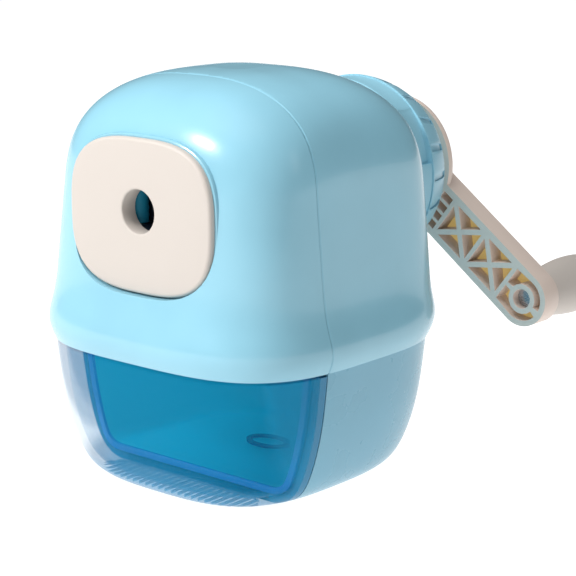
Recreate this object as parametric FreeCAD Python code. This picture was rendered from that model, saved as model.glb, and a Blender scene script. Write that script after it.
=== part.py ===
import FreeCAD, Part
import math
import os

V = FreeCAD.Vector

# Desk pencil sharpener with a hand crank. Millimetres, +Z up. The origin is the
# centre of the face that it stands on, the pencil goes in along +Y, and +X is
# on the right of someone who faces the pencil hole.

# Driving dimensions: body
BODY_HALF_WIDTH = 42.7     # widest place of the skirt
BODY_FRONT = 40.5          # from the middle to the front of the skirt
BODY_REAR = 40.9           # from the middle to the back of the skirt
BODY_TOP = 102.0           # highest point of the housing
SKIRT_Z = 35.1             # lower edge of the housing
AXIS_Z = 71.0              # height of the pencil axis
SPLIT_Y = -15.5            # plane where the two housing shells meet
SHELL = 2.2                # wall of the housing and the base
FACE_Y = -36.0             # front face of the face plate
DOME_Z = 75.0              # height where the top starts to round
REAR_SEAT_Y = 38.4         # flat seat of the rear cap on the housing

# Driving dimensions: base and drawer
BASE_BOTTOM = 0.6
FLOOR = 2.2
PAD_THICK = 1.2
PAD_HALF_X = 24.0
PAD_FRONT = -12.0
PAD_REAR = 24.0
DECK_THICK = 2.0
SLOT_HALF_X = 13.0
SLOT_FRONT = -9.0
SLOT_REAR = 19.0
DRAWER_WALL = 2.0
DRAWER_TOP_GAP = 0.7       # drawer front to the lower edge of the housing
DRAWER_GAP = 0.3           # drawer front to the base behind it
BIN_SIDE_GAP = 1.4         # drawer bin to the inside of the base
BIN_WALL = 1.6
GRIP_HALF_X = 25.0
GRIP_FRONT = -29.0
GRIP_REAR = -19.0
GRIP_DEPTH = 0.9
GRIP_PITCH = 4.0
RIB = 1.0

# Driving dimensions: face plate and pencil guide
HOLE_R = 5.25
PLATE_HALF_X = 22.9
PLATE_HALF_Z = 18.4
PLATE_DROP = 1.2           # plate centre below the hole
PLATE_THICK = 1.5
NECK_R = 8.5
NECK_LEN = 2.9
LAND = 1.2                 # flat land of the housing round the plate
CAGE_R = 13.5
CAGE_BORE_R = 5.8
CAGE_LEN = 8.0
ROLLER_R = 2.4
ROLLER_LEN = 8.4
ROLLER_REACH = 4.4         # pencil axis to the face of a grip roller
ROLLER_PIN_R = 0.8
ROLLER_ANGLES = (180.0, 60.0, 300.0)

# Driving dimensions: cutter unit
TILT = 11.0                # cutter axis against the pencil axis, degrees
GEAR_Y = -13.0             # middle plane of the gears
GEAR_LEN = 5.2
RING_TEETH = 36
PINION_TEETH = 12
RING_PITCH_R = 17.0
TOOTH_ADD = 0.65           # tooth height above the pitch circle
TOOTH_DED = 0.95           # tooth depth below the pitch circle
CUTTER_R = 6.2
CUTTER_LEN = 22.0
CUTTER_FLUTES = 10
FLUTE_DEPTH = 0.7
AXLE_R = 1.5
RUN_FIT = 0.05             # radial clearance of a running fit
SLEEVE_R = 21.0
SLEEVE_WALL = 1.6
SLEEVE_FRONT = -23.0
CARRIER_R = 16.6
CARRIER_BORE_R = 5.6
TRUNNION_R = 8.8
SHAFT_R = 3.0
HEAD_FRONT = 17.0          # rear disc of the carrier
HEAD_THICK = 3.0

# Driving dimensions: rear cap
CAP_R = 24.6
CAP_BAND_Y = 46.2          # where the grip band starts
CAP_BAND_R = 25.0
CAP_END_Y = 56.0
CAP_END_R = 21.8
CAP_GAP = 0.3
CAP_REAR_WALL = 2.5
LUG_OUT = 1.2
LUG_Y = 42.0
LUG_THICK = 2.4
LUG_ANGLES = (70.0, 190.0, 310.0)
LUG_HALF = 8.0
CAP_TURN = 30.0            # degrees from locked to free
THUMB_CUT = 1.6
THUMB_ANGLES = (8.0, 128.0, 248.0)
THUMB_SPAN = 36.0
NOTCHES = 20
BUSH_R = 6.0

# Driving dimensions: crank
ARM_Y = 61.8               # face of the arm towards the body
ARM_THICK = 6.6
ARM_HALF = 7.3
ARM_REACH = 53.2
ARM_ANGLE = -36.9
ARM_WALL = 1.9
ARM_POCKET = 4.6
ARM_RIB = 1.2
ARM_CELLS = (21.7, 34.2, 46.7)
HUB_R = 18.6
HUB_BOSS_R = 6.5
END_BOSS_R = 4.0
END_BORE_R = 2.6
PIN_R = 2.2
KNOB_R = 7.6
KNOB_LEN = 24.0
KNOB_GAP = 0.6

# Driving dimensions: fasteners
SCREW_R = 1.35
SCREW_HEAD_R = 2.6
SCREW_HEAD = 1.8
SCREW_GAP = 0.05
BOSS_R = 3.4
HOUSING_BOSSES = ((20.0, 91.0), (-20.0, 91.0), (31.0, 47.0), (-31.0, 47.0))
DECK_BOSSES = ((26.0, -24.0), (-26.0, -24.0), (27.0, 22.0), (-27.0, 22.0))

FAR = 200.0


# ---------- plain shapes ----------

def box(x0, x1, y0, y1, z0, z1):
    return Part.makeBox(x1 - x0, y1 - y0, z1 - z0, V(x0, y0, z0))


def rod_y(radius, y0, y1, x=0.0, z=AXIS_Z):
    return Part.makeCylinder(radius, y1 - y0, V(x, y0, z), V(0, 1, 0))


def rod_z(radius, z0, z1, x, y):
    return Part.makeCylinder(radius, z1 - z0, V(x, y, z0), V(0, 0, 1))


def ring_y(outer, inner, y0, y1, x=0.0, z=AXIS_Z):
    return rod_y(outer, y0, y1, x, z).cut(rod_y(inner, y0 - 1, y1 + 1, x, z))


def turned(profile, x=0.0, z=AXIS_Z):
    """Solid turned about a line along Y, from (radius, y) points in order."""
    points = [V(x + radius, y, z) for radius, y in profile]
    face = Part.Face(Part.makePolygon(points + [points[0]]))
    return face.revolve(V(x, 0, z), V(0, 1, 0), 360)


def about_axis(shape, degrees):
    """Turn a copy about the pencil axis, from +X towards +Z."""
    copy = shape.copy()
    copy.rotate(V(0, 0, AXIS_Z), V(0, -1, 0), degrees)
    return copy


def prism_y(points, y0, y1):
    """Straight prism along Y from (x, z) corner points."""
    corners = [V(x, y0, z) for x, z in points]
    return Part.Face(Part.makePolygon(corners + [corners[0]])).extrude(V(0, y1 - y0, 0))


def joined(shapes):
    first, rest = shapes[0], list(shapes[1:])
    return first.fuse(rest).removeSplitter() if rest else first


# ---------- superellipse sections of the body ----------

def power_curve(angle, half_x, half_y, power):
    c, s = math.cos(angle), math.sin(angle)
    x = half_x * math.copysign(abs(c) ** (2 / power), c)
    y = half_y * math.copysign(abs(s) ** (2 / power), s)
    return x, y


def even_points(curve, count, first):
    """Points at even distances along a closed curve of one angle."""
    fine = [curve(first + 2 * math.pi * i / 1440) for i in range(1441)]
    run = [0.0]
    for a, b in zip(fine, fine[1:]):
        run.append(run[-1] + math.dist(a, b))
    points, j = [], 0
    for i in range(count):
        want = run[-1] * i / count
        while run[j + 1] < want:
            j += 1
        t = (want - run[j]) / (run[j + 1] - run[j])
        points.append(tuple(p + t * (q - p) for p, q in zip(fine[j], fine[j + 1])))
    return points


def closed_spline(points):
    curve = Part.BSplineCurve()
    curve.interpolate(points, PeriodicFlag=True)
    return Part.Wire([curve.toShape()])


def between(table, height):
    """Row of a table of sections at a height, on straight lines between rows."""
    for low, high in zip(table, table[1:]):
        if height <= high[0] or high is table[-1]:
            t = (height - low[0]) / (high[0] - low[0])
            return [a + t * (b - a) for a, b in zip(low[1:], high[1:])]
    return list(table[-1][1:])


# Height, half width, front, rear, corner power in front, corner power behind
HOUSING = (
    (SKIRT_Z, BODY_HALF_WIDTH - 1.3, BODY_FRONT - 1.3, BODY_REAR - 2.3, 3.5, 3.5),
    (SKIRT_Z + 2.4, BODY_HALF_WIDTH - 0.35, BODY_FRONT - 0.35, BODY_REAR - 0.7, 3.5, 3.5),
    (SKIRT_Z + 5.2, BODY_HALF_WIDTH, BODY_FRONT, BODY_REAR, 3.55, 3.6),
    (SKIRT_Z + 8.0, BODY_HALF_WIDTH - 0.8, BODY_FRONT - 0.8, BODY_REAR - 1.1, 3.7, 3.9),
    (SKIRT_Z + 11.0, BODY_HALF_WIDTH - 1.9, BODY_FRONT - 2.0, BODY_REAR - 2.6, 3.9, 4.3),
    (SKIRT_Z + 15.0, BODY_HALF_WIDTH - 2.8, BODY_FRONT - 3.2, BODY_REAR - 3.8, 4.1, 4.8),
    (SKIRT_Z + 21.0, BODY_HALF_WIDTH - 3.5, BODY_FRONT - 4.1, BODY_REAR - 4.7, 4.3, 5.2),
    (SKIRT_Z + 29.0, BODY_HALF_WIDTH - 4.2, BODY_FRONT - 4.8, BODY_REAR - 5.4, 4.3, 5.4),
    (DOME_Z, BODY_HALF_WIDTH - 5.1, BODY_FRONT - 5.4, BODY_REAR - 6.1, 4.1, 5.4),
)
BASE = (
    (BASE_BOTTOM, 28.6, 30.0, 29.5, 3.0, 3.0),
    (2.2, 32.2, 32.9, 32.7, 3.2, 3.2),
    (5.2, 34.7, 35.1, 34.7, 3.3, 3.3),
    (9.8, 36.6, 36.5, 36.0, 3.4, 3.4),
    (16.0, 38.4, 37.6, 37.0, 3.5, 3.5),
    (23.5, 40.0, 38.4, 37.8, 3.5, 3.5),
    (SKIRT_Z, 41.2, 39.1, 38.5, 3.5, 3.5),
)
DOME_STEPS = (0.1, 0.25, 0.4, 0.53, 0.65, 0.75, 0.83, 0.89, 0.935, 0.965, 0.985, 0.997)


def section(row, height, inset=0.0):
    """Closed outline at a height, moved inward by inset."""
    half_x, front, rear, power_front, power_rear = row

    def curve(angle):
        behind = math.sin(angle) > 0
        depth = rear if behind else front
        power = power_rear if behind else power_front
        return power_curve(angle, half_x - inset, depth - inset, power)

    points = even_points(curve, 48, math.pi / 2)
    return closed_spline([V(x, y, height) for x, y in points])


def dome_row(step, inset):
    """Section of the rounded top; step runs from 0 at DOME_Z to 1 at the top."""
    half_x, front, rear, power_front, power_rear = HOUSING[-1][1:]
    width = (1 - step ** 2.6) ** (1 / 2.6)
    ahead = (1 - step ** 3.0) ** (1 / 3.0)
    behind = (1 - step ** 2.7) ** (1 / 2.7)
    return ((half_x - inset) * width + inset, (front - inset) * ahead + inset,
            (rear - inset) * behind + inset, power_front - 1.4 * step,
            power_rear - 2.4 * step)


def housing_block(inset=0.0, bottom=SKIRT_Z):
    """Solid block inside the housing's outside, moved inward by inset."""
    wires = [section(between(HOUSING, bottom), bottom, inset)]
    for row in HOUSING:
        if row[0] > bottom + 0.5:
            wires.append(section(row[1:], row[0], inset))
    rise = BODY_TOP - inset - DOME_Z
    for step in DOME_STEPS:
        wires.append(section(dome_row(step, inset), DOME_Z + step * rise, inset))
    return Part.makeLoft(wires, True, False)


def base_block(inset=0.0, bottom=BASE_BOTTOM, top=SKIRT_Z):
    """Solid block inside the outside of the base and the drawer front."""
    heights = [bottom] + [r[0] for r in BASE if bottom + 0.5 < r[0] < top - 0.5] + [top]
    wires = [section(between(BASE, z), z, inset) for z in heights]
    return Part.makeLoft(wires, True, False)


def squircle(half_x, half_z, y0, y1, power=3.0):
    """Prism along Y with a superellipse outline round the plate centre."""
    def curve(angle):
        return power_curve(angle, half_x, half_z, power)
    points = [V(x, y0, AXIS_Z - PLATE_DROP + z) for x, z in even_points(curve, 40, 0.0)]
    return Part.Face(closed_spline(points)).extrude(V(0, y1 - y0, 0))


AHEAD = box(-FAR, FAR, -FAR, SPLIT_Y, -FAR, FAR)
BEHIND = box(-FAR, FAR, SPLIT_Y, FAR, -FAR, FAR)
OUTSIDE = housing_block()
INSIDE = housing_block(SHELL, SKIRT_Z - 0.01)

LAND_Y = FACE_Y + PLATE_THICK
NECK_END = LAND_Y + NECK_LEN
BOSS_SEAT = -5.0           # seat of a housing screw's head
HOUSING_SCREW = 16.0
DECK_Z = SKIRT_Z + DECK_THICK


# ---------- housing ----------

def front_housing():
    shell = OUTSIDE.cut(INSIDE).common(AHEAD)
    land = squircle(PLATE_HALF_X + LAND, PLATE_HALF_Z + LAND, LAND_Y, NECK_END)
    shell = shell.fuse(land.common(OUTSIDE.fuse(squircle(PLATE_HALF_X + LAND,
                                                         PLATE_HALF_Z + LAND,
                                                         LAND_Y, LAND_Y + 3.0))))
    recess = squircle(PLATE_HALF_X + LAND, PLATE_HALF_Z + LAND, -FAR, LAND_Y)
    shell = shell.cut([recess, rod_y(NECK_R + 0.2, -FAR, 0)])
    bosses = [rod_y(BOSS_R, -34.0, SPLIT_Y, x, z) for x, z in HOUSING_BOSSES]
    bosses += [rod_z(BOSS_R, DECK_Z, DECK_Z + 12, x, y) for x, y in DECK_BOSSES if y < SPLIT_Y]
    shell = shell.fuse([b.common(OUTSIDE) for b in bosses])
    holes = [rod_y(SCREW_R + SCREW_GAP, BOSS_SEAT - HOUSING_SCREW - 0.5, 0, x, z)
             for x, z in HOUSING_BOSSES]
    holes += [rod_z(SCREW_R + SCREW_GAP, 0, DECK_Z + 9.5, x, y)
              for x, y in DECK_BOSSES if y < SPLIT_Y]
    return shell.cut(holes)


def rear_housing():
    shell = OUTSIDE.cut(INSIDE).common(BEHIND)
    seat = rod_y(CAP_R, 22.0, REAR_SEAT_Y).cut(rod_y(SLEEVE_R + 3, 0, 31.0))
    shell = shell.fuse(seat.cut(INSIDE.common(box(-FAR, FAR, -FAR, 31, -FAR, FAR))))
    bosses = [rod_y(BOSS_R, SPLIT_Y, FAR, x, z) for x, z in HOUSING_BOSSES]
    bosses += [rod_z(BOSS_R, DECK_Z, DECK_Z + 12, x, y) for x, y in DECK_BOSSES if y > SPLIT_Y]
    shell = shell.fuse([b.common(OUTSIDE) for b in bosses])
    holes = [rod_y(SLEEVE_R, 0, FAR)]
    for x, z in HOUSING_BOSSES:
        holes.append(rod_y(SCREW_R + SCREW_GAP, SPLIT_Y - 1, FAR, x, z))
        holes.append(rod_y(SCREW_HEAD_R + 0.1, BOSS_SEAT, FAR, x, z))
    holes += [rod_z(SCREW_R + SCREW_GAP, 0, DECK_Z + 9.5, x, y)
              for x, y in DECK_BOSSES if y > SPLIT_Y]
    return shell.cut(holes)


def housing_screws():
    screws = []
    for x, z in HOUSING_BOSSES:
        shank = rod_y(SCREW_R, BOSS_SEAT - HOUSING_SCREW, BOSS_SEAT, x, z)
        head = rod_y(SCREW_HEAD_R, BOSS_SEAT, BOSS_SEAT + SCREW_HEAD, x, z)
        drive = box(x - 1.6, x + 1.6, BOSS_SEAT + 0.8, FAR, z - 0.3, z + 0.3)
        cross = box(x - 0.3, x + 0.3, BOSS_SEAT + 0.8, FAR, z - 1.6, z + 1.6)
        screws.append(shank.fuse(head).cut([drive, cross]))
    return Part.makeCompound(screws)


# ---------- base and drawer ----------

def base_tub():
    tub = base_block().cut(base_block(SHELL, BASE_BOTTOM + FLOOR, SKIRT_Z + 0.01))
    tub = tub.common(BEHIND)
    deck = housing_block(SHELL + 0.1, SKIRT_Z).common(box(-FAR, FAR, -FAR, FAR, 0, DECK_Z))
    rim = base_block(SHELL, SKIRT_Z - 1.0, SKIRT_Z).common(BEHIND)
    rim = rim.cut(base_block(SHELL + 1.2, SKIRT_Z - 1.1, SKIRT_Z + 0.01))
    tub = tub.fuse([deck, rim])
    slot = box(-SLOT_HALF_X, SLOT_HALF_X, SLOT_FRONT, SLOT_REAR, SKIRT_Z - 1, DECK_Z + 1)
    seat = box(-PAD_HALF_X, PAD_HALF_X, PAD_FRONT, PAD_REAR, 0, PAD_THICK)
    holes = [rod_z(SCREW_R + SCREW_GAP, SKIRT_Z - 5, DECK_Z + 1, x, y) for x, y in DECK_BOSSES]
    return tub.cut([slot, seat] + holes)


def base_screws():
    screws = []
    for x, y in DECK_BOSSES:
        shank = rod_z(SCREW_R, SKIRT_Z, DECK_Z + 9, x, y)
        head = Part.makeCone(1.6, SCREW_HEAD_R, 0.6, V(x, y, SKIRT_Z - 0.6))
        screws.append(shank.fuse(head))
    return Part.makeCompound(screws)


def non_slip_pad():
    pad = box(-PAD_HALF_X, PAD_HALF_X, PAD_FRONT, PAD_REAR, 0, PAD_THICK)
    upright = [e for e in pad.Edges if abs(e.BoundBox.ZLength - PAD_THICK) < 1e-6]
    return pad.makeFillet(5.0, upright)


def shavings_chute():
    """Funnel that hangs in the deck slot and leads shavings to the drawer."""
    lip = box(-SLOT_HALF_X - 2, SLOT_HALF_X + 2, SLOT_FRONT - 2, SLOT_REAR + 2,
              DECK_Z, DECK_Z + 1)
    neck = box(-SLOT_HALF_X + 0.1, SLOT_HALF_X - 0.1, SLOT_FRONT + 0.1, SLOT_REAR - 0.1,
               SKIRT_Z, DECK_Z)
    mouth = box(-SLOT_HALF_X + 1.3, SLOT_HALF_X - 1.3, SLOT_FRONT + 1.3, SLOT_REAR - 1.3,
                SKIRT_Z - 1, DECK_Z + 2)
    return lip.fuse(neck).cut(mouth).removeSplitter()


def bin_block(inset, bottom, top, front):
    """Straight sides in the front half and the rounded plan behind it."""
    side = SHELL + BIN_SIDE_GAP + inset

    def ring(height):
        wide, _, behind, _, power = between(BASE, height)
        half, rear = wide - side, behind - side

        def curve(angle):
            return power_curve(angle, half, rear, power)
        arc = [curve(math.pi * i / 24) for i in range(25)]
        spline = Part.BSplineCurve()
        spline.interpolate([V(x, max(y, 0.0), height) for x, y in arc])
        a, b = V(half, 0, height), V(-half, 0, height)
        c, d = V(-half, front, height), V(half, front, height)
        return Part.Wire([spline.toShape(), Part.makeLine(b, c), Part.makeLine(c, d),
                          Part.makeLine(d, a)])

    heights = [bottom, bottom + 1.5, bottom + 4, 15.0, 23.5, top]
    return Part.makeLoft([ring(z) for z in heights], True, False)


BIN_FLOOR = BASE_BOTTOM + FLOOR + 0.5
BIN_TOP = SKIRT_Z - 1.6


def drawer():
    """Clear front that wraps both corners, with the bin behind it, in one piece."""
    top = SKIRT_Z - DRAWER_TOP_GAP
    bottom = BASE_BOTTOM + 0.2
    front_y = SPLIT_Y - DRAWER_GAP
    flange_y = front_y - DRAWER_WALL
    nose = base_block(0.0, bottom, top).common(box(-FAR, FAR, -FAR, front_y, 0, FAR))
    hollow = base_block(DRAWER_WALL, bottom + DRAWER_WALL, top + 0.01)
    nose = nose.cut(hollow.common(box(-FAR, FAR, -FAR, flange_y, 0, FAR)))
    tray = bin_block(0.0, BIN_FLOOR, BIN_TOP, flange_y)
    hold = bin_block(BIN_WALL, BIN_FLOOR + BIN_WALL, SKIRT_Z, flange_y - 1)
    return nose.fuse(tray).cut(hold).cut(finger_grip()).fuse(mark_ring())


def mark_ring():
    """Raised plain oval on the drawer's floor."""
    z = BIN_FLOOR + BIN_WALL
    outer = Part.Ellipse(V(2.5, 7.0, z), 5.4, 3.2)
    inner = Part.Ellipse(V(2.5, 7.0, z), 4.4, 2.2)
    face = Part.Face(Part.Wire([outer.toShape()])).cut(Part.Face(Part.Wire([inner.toShape()])))
    return face.extrude(V(0, 0, 0.4))


def finger_grip():
    """Ribbed stadium recess under the drawer front, as the cutting solid."""
    z0, z1 = 0.0, BASE_BOTTOM + 0.2 + GRIP_DEPTH
    radius = (GRIP_REAR - GRIP_FRONT) / 2
    mid = GRIP_FRONT + radius
    reach = GRIP_HALF_X - radius
    stadium = joined([box(-reach, reach, GRIP_FRONT, GRIP_REAR, z0, z1),
                      rod_z(radius, z0, z1, -reach, mid), rod_z(radius, z0, z1, reach, mid)])
    ribs = []
    count = int(GRIP_HALF_X / GRIP_PITCH)
    for i in range(-count, count + 1):
        x = i * GRIP_PITCH
        ribs.append(box(x - RIB / 2, x + RIB / 2, GRIP_FRONT - 1, GRIP_REAR + 1, z0 - 1, z1 + 1))
    return stadium.cut(ribs)


# ---------- face plate and pencil guide ----------

def face_plate():
    slab = squircle(PLATE_HALF_X, PLATE_HALF_Z, FACE_Y, LAND_Y)
    rim = [e for e in slab.Edges if abs(e.BoundBox.YMax - FACE_Y) < 0.01
           and e.BoundBox.YLength < 0.01]
    slab = slab.makeFillet(min(0.9, 0.6 * PLATE_THICK), rim)
    neck = rod_y(NECK_R, LAND_Y, NECK_END)
    return slab.fuse(neck).cut(rod_y(HOLE_R, FACE_Y - 1, NECK_END + 1)).removeSplitter()


ROLLER_Y = NECK_END + 0.5 + ROLLER_R
ROLLER_AXIS = ROLLER_REACH + ROLLER_R


def on_roller(radius, half):
    """Cylinder on the grip roller's axis for the roller at 0 degrees."""
    return Part.makeCylinder(radius, 2 * half, V(ROLLER_AXIS, ROLLER_Y, AXIS_Z - half), V(0, 0, 1))


def roller_cage():
    cage = ring_y(CAGE_R, CAGE_BORE_R, NECK_END, NECK_END + CAGE_LEN)
    half = ROLLER_LEN / 2 + 0.2
    room = ROLLER_R + 0.4
    pocket = box(0, ROLLER_AXIS + room, ROLLER_Y - room, ROLLER_Y + room,
                 AXIS_Z - half, AXIS_Z + half)
    cuts = []
    for angle in ROLLER_ANGLES:
        cuts.append(about_axis(pocket, angle))
        cuts.append(about_axis(on_roller(ROLLER_PIN_R + 0.02, ROLLER_LEN / 2 + 1.4), angle))
    return cage.cut(cuts)


def grip_roller(angle):
    """Barrel with a slight waist, on its own pin."""
    roller = on_roller(ROLLER_R, ROLLER_LEN / 2).cut(
        on_roller(ROLLER_PIN_R + RUN_FIT, ROLLER_LEN))
    return about_axis(roller, angle)


def roller_pins():
    pin = on_roller(ROLLER_PIN_R, ROLLER_LEN / 2 + 1.3)
    return Part.makeCompound([about_axis(pin, a) for a in ROLLER_ANGLES])


# ---------- cutter unit ----------

GEAR_X = RING_PITCH_R * (1 - PINION_TEETH / RING_TEETH)
PINION_PITCH_R = RING_PITCH_R * PINION_TEETH / RING_TEETH
SLOPE = V(-math.sin(math.radians(TILT)), math.cos(math.radians(TILT)), 0)
CUTTER_START = GEAR_LEN / 2 + 1.6
CUTTER_END = CUTTER_START + CUTTER_LEN
WASHER = 0.8


def on_cutter(s):
    """Point on the cutter axis at a distance from the gears' middle."""
    return V(GEAR_X, GEAR_Y, AXIS_Z) + SLOPE * s


def along_cutter(radius, s0, s1):
    return Part.makeCylinder(radius, s1 - s0, on_cutter(s0), SLOPE)


def laid_on_cutter(shape, s):
    """Move a shape built along +Z at the origin onto the cutter axis."""
    copy = shape.copy()
    outward = V(SLOPE.y, -SLOPE.x, 0)
    turn = FreeCAD.Rotation(outward, SLOPE.cross(outward), SLOPE, "ZXY")
    copy.Placement = FreeCAD.Placement(on_cutter(s), turn)
    return copy


def star(count, outer, inner, twist, height, tip, root):
    """Closed toothed outline; tip and root are the flat shares of the pitch."""
    corners = []
    for i in range(count):
        for share, radius in ((-tip / 2, outer), (tip / 2, outer),
                              (0.5 - root / 2, inner), (0.5 + root / 2, inner)):
            angle = twist + 2 * math.pi * (i + share) / count
            corners.append(V(radius * math.cos(angle), radius * math.sin(angle), height))
    return Part.makePolygon(corners + [corners[0]])


def helical_cutter():
    sections = 8
    twist = CUTTER_LEN * math.tan(math.radians(26)) / CUTTER_R
    wires = []
    for i in range(sections + 1):
        t = i / sections
        wires.append(star(CUTTER_FLUTES, CUTTER_R, CUTTER_R - FLUTE_DEPTH, twist * t,
                          CUTTER_LEN * t, 0.35, 0.165))
    body = laid_on_cutter(Part.makeLoft(wires, True, True), CUTTER_START)
    neck = along_cutter(3.0, GEAR_LEN / 2, CUTTER_START)
    return body.fuse(neck).cut(along_cutter(AXLE_R + RUN_FIT, -1, CUTTER_END + 1))


def tooth(outer, inner, thick_root, thick_tip, length):
    """One straight tooth at angle 0, from inner to outer radius, along +Z."""
    corners = [V(inner, -thick_root / 2, 0), V(outer, -thick_tip / 2, 0),
               V(outer, thick_tip / 2, 0), V(inner, thick_root / 2, 0)]
    return Part.Face(Part.makePolygon(corners + [corners[0]])).extrude(V(0, 0, length))


TOOTH_ROOT = 1.35
TOOTH_TIP = 0.7
RING_GAP_IN = 2.85         # width of a tooth gap of the ring at its bore
RING_GAP_OUT = 1.85        # and at its root


def cutter_pinion():
    root = PINION_PITCH_R - TOOTH_DED
    core = Part.makeCylinder(root, GEAR_LEN)
    one = tooth(PINION_PITCH_R + TOOTH_ADD, root - 0.4, TOOTH_ROOT, TOOTH_TIP, GEAR_LEN)
    teeth = []
    for i in range(PINION_TEETH):
        copy = one.copy()
        copy.rotate(V(0, 0, 0), V(0, 0, 1), 360 / PINION_TEETH * i)
        teeth.append(copy)
    gear = laid_on_cutter(core.fuse(teeth), -GEAR_LEN / 2)
    return gear.cut(along_cutter(AXLE_R + RUN_FIT, -GEAR_LEN, GEAR_LEN))


def ring_gear():
    half = GEAR_LEN / 2 + 0.4
    bore = RING_PITCH_R - TOOTH_ADD + 0.1
    root = RING_PITCH_R + TOOTH_DED + 0.35
    ring = ring_y(SLEEVE_R - SLEEVE_WALL, bore, GEAR_Y - half, GEAR_Y + half)
    front = GEAR_Y - half - 1
    gap = ((bore - 1.0, RING_GAP_IN), (root, RING_GAP_OUT))
    (x0, w0), (x1, w1) = gap
    corners = [V(x0, front, AXIS_Z - w0 / 2), V(x1, front, AXIS_Z - w1 / 2),
               V(x1, front, AXIS_Z + w1 / 2), V(x0, front, AXIS_Z + w0 / 2)]
    cut = Part.Face(Part.makePolygon(corners + [corners[0]])).extrude(V(0, 2 * half + 2, 0))
    return ring.cut([about_axis(cut, 360 / RING_TEETH * i) for i in range(RING_TEETH)])


def cutter_axle():
    return along_cutter(AXLE_R, -GEAR_LEN / 2 - 4.6, CUTTER_END + 4.2)


def thrust_washer():
    ring = along_cutter(2.9, CUTTER_END + 0.1, CUTTER_END + 0.1 + WASHER)
    return ring.cut(along_cutter(AXLE_R + 0.02, CUTTER_END, CUTTER_END + 2))


def cutter_carrier():
    disc_front = GEAR_Y - GEAR_LEN / 2 - 4.9
    disc = ring_y(CARRIER_R, CARRIER_BORE_R, disc_front, disc_front + 2.6)
    trunnion = ring_y(TRUNNION_R, CARRIER_BORE_R, SLEEVE_FRONT + 0.2, disc_front)
    head = rod_y(CARRIER_R - 2, HEAD_FRONT, HEAD_FRONT + HEAD_THICK)
    web = ring_y(9.2, 6.2, disc_front + 1, HEAD_FRONT + 1)
    web = web.cut(box(-1.2, FAR, -FAR, FAR, -FAR, FAR))
    nose = rod_y(6.0, HEAD_FRONT + HEAD_THICK, HEAD_FRONT + HEAD_THICK + 8)
    front_boss = along_cutter(3.0, -GEAR_LEN / 2 - 4.2, -GEAR_LEN / 2 - 0.3)
    rear_boss = along_cutter(3.4, CUTTER_END + WASHER + 0.3, CUTTER_END + 5.5)
    keep = rod_y(CARRIER_R, disc_front, HEAD_FRONT + HEAD_THICK)
    carrier = disc.fuse([trunnion, head, web, nose, front_boss.common(keep),
                         rear_boss.common(keep)])
    return carrier.cut([rod_y(SHAFT_R, HEAD_FRONT + 0.8, FAR),
                        along_cutter(AXLE_R, -GEAR_LEN / 2 - 4.6, CUTTER_END + 4.2),
                        rod_y(CARRIER_BORE_R, -FAR, disc_front + 3)])


def mechanism_frame():
    sleeve = ring_y(SLEEVE_R, SLEEVE_R - SLEEVE_WALL, SLEEVE_FRONT, CAP_END_Y - CAP_REAR_WALL - 5)
    nose = ring_y(SLEEVE_R, TRUNNION_R + RUN_FIT, SLEEVE_FRONT, SLEEVE_FRONT + 2)
    corners = [(30, 96), (-30, 96), (-37, 39.5), (37, 39.5)]
    plate = prism_y(corners, SPLIT_Y, SPLIT_Y + 2).common(housing_block(SHELL + 0.3))
    plate = plate.cut([rod_y(SLEEVE_R - SLEEVE_WALL, -FAR, FAR)]
                      + [rod_y(BOSS_R + 0.2, -FAR, FAR, x, z) for x, z in HOUSING_BOSSES])
    frame = sleeve.fuse([nose, plate])
    lugs = []
    for angle in LUG_ANGLES:
        lugs.append(arc_block(SLEEVE_R - 0.5, SLEEVE_R + LUG_OUT, LUG_Y, LUG_Y + LUG_THICK,
                              angle - LUG_HALF, angle + LUG_HALF))
    frame = frame.fuse(lugs)
    window = box(-SLOT_HALF_X + 1, SLOT_HALF_X - 1, SLOT_FRONT + 1, SLOT_REAR - 1, 0, AXIS_Z - 10)
    return frame.cut(window)


def arc_block(inner, outer, y0, y1, start, end):
    """Part of a ring about the pencil axis, between two angles in degrees."""
    steps = max(2, int((end - start) / 6) + 1)
    angles = [math.radians(start + (end - start) * i / steps) for i in range(steps + 1)]
    far = outer * 1.3
    wedge = [(0.0, AXIS_Z)] + [(far * math.cos(a), AXIS_Z + far * math.sin(a)) for a in angles]
    return ring_y(outer, inner, y0, y1).common(prism_y(wedge, y0, y1))


# ---------- rear cap ----------

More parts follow.
